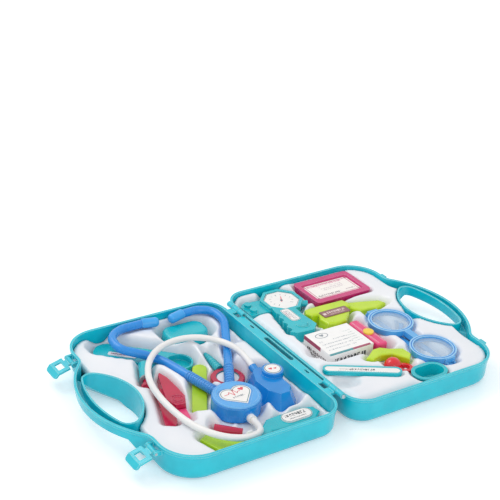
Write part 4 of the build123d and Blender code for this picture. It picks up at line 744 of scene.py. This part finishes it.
# The wraps' edges: thread seen end on, a pale dull pink.
gauze = card("woven_gauze_edge", colour="#F3C4CF", shade="#E8B2C0")
paint(pink, "bandage_roll")
paint(yellow, "roll_cap")
roll = top_middle("bandage_roll")
wraps = [shape for k in WRAP_PLACES for shape in stroke([(k, -WRAP_HALF), (k, WRAP_HALF)], 0.5)]
ink_shapes("roll_edge_lines", wraps, roll[2] + INK, "bandage_roll", gauze, roll)

# ---- Whistle and kidney dish ----
# Two plain ABS mouldings that lie loose in the base's wells: a red whistle
# with a ball-shaped chamber, and a teal dish.

# High-gloss ABS: small, sharp highlights, and a painted highlight in a paler red along its edges.
scarlet = moulded("moulded_abs_scarlet", "#E80A26", "#DC0820", rim="#F46A78", roughness=0.16, coat=0.3)
paint(scarlet, "whistle")
paint(teal, "kidney_dish")

# ---- Thermometer ----
# Flat teal ABS case with a long strip of printed card along its top: a tick
# every 2 mm, a longer one at each fifth, and a row of strokes.
SCALE_TURN = math.degrees(math.atan2(-39.5, 66.0))
paint(teal, "thermometer")
paint(card("printed_scale_card", inked(
    ("#2F363C", top_middle("thermometer_scale"), (30, 3.6), (3.6, 0.99, 3.0), SCALE_TURN),
    ("#6B757C", top_middle("thermometer_scale", -18, 10.8), (12, 1.6), (1.6, 0.99, 1.6), SCALE_TURN))),
    "thermometer_scale")
marks = [shape for i in range(-14, 15)
         for shape in stroke([(2 * i, -4.4), (2 * i, -3.2 if i % 5 else -2.4)], 0.35)]
scale = top_middle("thermometer_scale")
ink_shapes("thermometer_ticks", marks, scale[2] + INK, "thermometer", grey_ink, scale, SCALE_TURN)

# ---- Glasses ----
# Front and temples moulded in clear polystyrene tinted blue. Each rim has two raised beads, painted
# paler as a highlight, with a flat darker ring of painted shade between them for the groove, round a thin
# pale blue lens.
RIM_CENTRES = {"far": (159.0, -5.0), "near": (164.0, -79.0)}
BEAD_LEVEL = 28.5

# Clear polystyrene: glossy, with a painted highlight in a paler blue along its edges.
glasses_blue = moulded("moulded_ps_clear_blue", "#4CAAE8", "#3C9CE2", rim="#A6DAFA", roughness=0.16, coat=0.7,
                       edge=0.9)
# Painted highlight: the beads are a paler blue than the moulding.
bead_painted_highlight = moulded("moulded_ps_clear_blue_bead_painted_highlight", "#9AD6FA", "#8ECFF7", roughness=0.12, coat=0.8)
# Painted shade: a darker blue ring, printed flat between the beads, for the groove.
groove_painted_shade = moulded("moulded_ps_clear_blue_groove_painted_shade", "#2E86DA", "#287ED2", roughness=0.2)
paint(glasses_blue, "glasses_front", "temple_far", "temple_near")
rim_top = top_middle("glasses_front")[2]
for place, (x, y) in RIM_CENTRES.items():
    for bead, radius, thick in (("outer", 27.4, 0.9), ("inner", 24.5, 0.8)):
        bead_ring(f"rim_bead_{bead}_{place}", radius, thick, (x, y, BEAD_LEVEL), "glasses", bead_painted_highlight)
    # The groove between the beads: a flat ring of painted shade.
    ink_shapes(f"rim_groove_painted_shade_{place}", hoop(ring(x, y, 26.6), ring(x, y, 25.2)), rim_top + INK, "glasses",
               groove_painted_shade)
# Cast acrylic, thin and lightly tinted: what lies under the lens shows through it.
lens = empty_material("cast_clear_acrylic_blue")
lens_shader = add(lens, "ShaderNodeBsdfPrincipled", {
    "Base Color": linear("#D6ECFC"), "Roughness": 0.04, "IOR": 1.49, "Coat Weight": 0.5, "Alpha": 0.32})
add(lens, "ShaderNodeOutputMaterial", {"Surface": lens_shader.outputs[0]})
paint(lens, "glasses_lenses")

# ---- Lid label ----
# Coated paper stuck in a shallow recess of the lid's outer face: a violet
# field with a big heart and a pulse line, four discs, a plaster, two rows.
HALF_LONG, HALF_HIGH = 112.0, 77.0
LAYER = 0.03                # step between inks that lie on each other
WAVE_STEPS = 28
LABEL_PULSE = [(-60, 26), (-22, 26), (-14, 38), (-5, 8), (5, 50), (13, 20), (18, 26), (60, 26)]
SIDE_HEARTS = ((-84, 46, 16), (-92, 22, 9), (86, 48, 14), (92, 24, 10))
PLASTER = [(-26, -44), (26, -44), (31, -38), (31, -32), (26, -26), (-26, -26), (-31, -32), (-31, -38)]
PLASTER_PAD = [(-10, -42), (10, -42), (10, -28), (-10, -28)]
SLANTED_BAR = [(-91, -39), (-87, -43), (-77, -29), (-81, -25)]

label = top_middle("lid_label")
label_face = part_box("lid_label")[0].z / MM


def label_ink(name, shapes, material, layer):
    """Prints shapes, drawn right and up as they read from outside, on the label's face."""
    turned = [[(-up, -right) for right, up in shape] for shape in shapes]
    ink_shapes(name, turned, label_face - INK - layer * LAYER, "lid", material, label, side=-1)


# Coated paper, and offset inks on it: smooth and half glossy.
paint(card("printed_label_paper", inked(
    ("#5A6670", (label[0] + 58, -28, label_face), (96, 8), (4.0, 0.55, 3.2), 0, "YX")),
    "#F8F7F7", "#F3F2F3"), "lid_label")
violet = card("printed_label_violet", colour="#4B57B4", shade="#424EAA")
sky = card("printed_label_sky", colour="#8FD3EE", shade="#84CBE8")
rose = card("printed_label_rose", colour="#E5407E", shade="#DC3674")
leaf = card("printed_label_lime", colour="#A9D636", shade="#9ECC2C")
white_ink = card("printed_label_white", colour="#FAFAFA", shade="#F4F4F5")
swing = [math.pi * i / WAVE_STEPS for i in range(WAVE_STEPS + 1)]
wave = [(-HALF_LONG + 8 * i, -2 + 9 * math.cos(t)) for i, t in enumerate(swing)]
under_wave = [(x, y - 5 - 2 * math.sin(t)) for (x, y), t in zip(wave, swing)]
label_ink("label_violet_field", [[(-HALF_LONG, HALF_HIGH), *wave, (HALF_LONG, HALF_HIGH)]], violet, 1)
label_ink("label_sky_wave", [[*wave, *under_wave[::-1]]], sky, 1)
label_ink("label_big_heart", [heart(0, 26, 74)], rose, 2)
label_ink("label_pulse", stroke(LABEL_PULSE, 2.6), white_ink, 3)
label_ink("label_side_hearts", [heart(*place) for place in SIDE_HEARTS], sky, 2)
discs = ((-84, -34, rose), (-50, -26, leaf), (50, -26, violet), (84, -34, sky))
for number, (x, y, ink) in enumerate(discs):
    label_ink(f"label_disc_{number}", [ring(x, y, 13)], ink, 1)
label_ink("label_disc_motifs", [
    SLANTED_BAR, *stroke([(-50, -33), (-50, -19)], 4), *stroke([(44, -32), (56, -20)], 5.0),
    heart(84, -34, 13)], white_ink, 2)
label_ink("label_plaster", [PLASTER], sky, 1)
label_ink("label_plaster_pad", [PLASTER_PAD], white_ink, 2)

# ---- Studio ----
# A white floor without an end under a white sky, one broad soft lamp behind
# the lid, and a weaker one in front of the handle.
FLOOR_SIZE = 12.0           # metres, as all sizes of the studio
FLOOR_GLOW = 0.25
SKY_LIGHT = 0.78


def plain_view(owner):
    """1 for the rays that see the background: from the camera, and off metal or through glass."""
    path = add(owner, "ShaderNodeLightPath")
    seen = path.outputs["Is Camera Ray"]
    for ray in ("Is Glossy Ray", "Is Transmission Ray"):
        seen = add(owner, "ShaderNodeMath", {0: seen, 1: path.outputs[ray]}, operation="MAXIMUM").outputs[0]
    return seen


def soft_light(name, place, size, power):
    """Square lamp that looks at the middle of the case."""
    data = bpy.data.lights.new(name, "AREA")
    data.energy, data.size = power, size
    lamp = bpy.data.objects.new(name, data)
    lamp.location = place
    lamp.rotation_euler = (-Vector(place)).to_track_quat("-Z", "Y").to_euler()
    bpy.context.scene.collection.objects.link(lamp)


# Painted sweep: pale paint that keeps the shadow, lifted towards white where it is seen.
sweep = empty_material("white_studio_sweep")
painted = add(sweep, "ShaderNodeBsdfPrincipled", {"Base Color": linear("#F4F7F9"), "Roughness": 0.35})
glow = add(sweep, "ShaderNodeEmission", {"Color": (1, 1, 1, 1), "Strength": FLOOR_GLOW})
lit = add(sweep, "ShaderNodeAddShader", {0: painted.outputs[0], 1: glow.outputs[0]})
shown = add(sweep, "ShaderNodeMixShader", {0: plain_view(sweep), 1: painted.outputs[0], 2: lit.outputs[0]})
add(sweep, "ShaderNodeOutputMaterial", {"Surface": shown.outputs[0]})
half = FLOOR_SIZE / 2
ground = bpy.data.meshes.new("studio_floor")
corners = [(-half, -half, 0), (half, -half, 0), (half, half, 0), (-half, half, 0)]
ground.from_pydata(corners, [], [(0, 1, 2, 3)])
ground.materials.append(sweep)
floor = bpy.data.objects.new("studio_floor", ground)
bpy.context.scene.collection.objects.link(floor)

world = bpy.data.worlds.new("studio")
bpy.context.scene.world = world
world.use_nodes = True
backdrop = world.node_tree.nodes["Background"]
backdrop.inputs["Color"].default_value = (1, 1, 1, 1)
level = add(world, "ShaderNodeMapRange", {"Value": plain_view(world), "To Min": SKY_LIGHT, "To Max": 1.0})
world.node_tree.links.new(level.outputs[0], backdrop.inputs["Strength"])
soft_light("broad_key", (-0.5, 0.9, 1.3), 0.9, 7.0)
soft_light("front_fill", (-0.5, -1.6, 0.6), 1.2, 6.0)

# ---- Camera ----
# It looks down at the case from the lid's near corner. Its place is in
# millimetres, and its axes are what it sees as right, down and forward.
EYE = Vector((-717.08, -965.04, 746.09))
RIGHT = Vector((0.83820, -0.54258, 0.05501))
DOWN = Vector((-0.19860, -0.39763, -0.89580))
FORWARD = Vector((0.50792, 0.73993, -0.44105))
SENSOR = 36.0
FOCAL_PIXELS, FRAME_PIXELS = 1190.2, 500
view = bpy.data.cameras.new("camera")
view.sensor_width = SENSOR
view.lens = FOCAL_PIXELS / FRAME_PIXELS * SENSOR
camera = bpy.data.objects.new("camera", view)
camera.matrix_world = Matrix.Translation(EYE * MM) @ Matrix((RIGHT, -DOWN, -FORWARD)).transposed().to_4x4()
bpy.context.scene.collection.objects.link(camera)
bpy.context.scene.camera = camera
bpy.context.scene.view_settings.view_transform = "Standard"
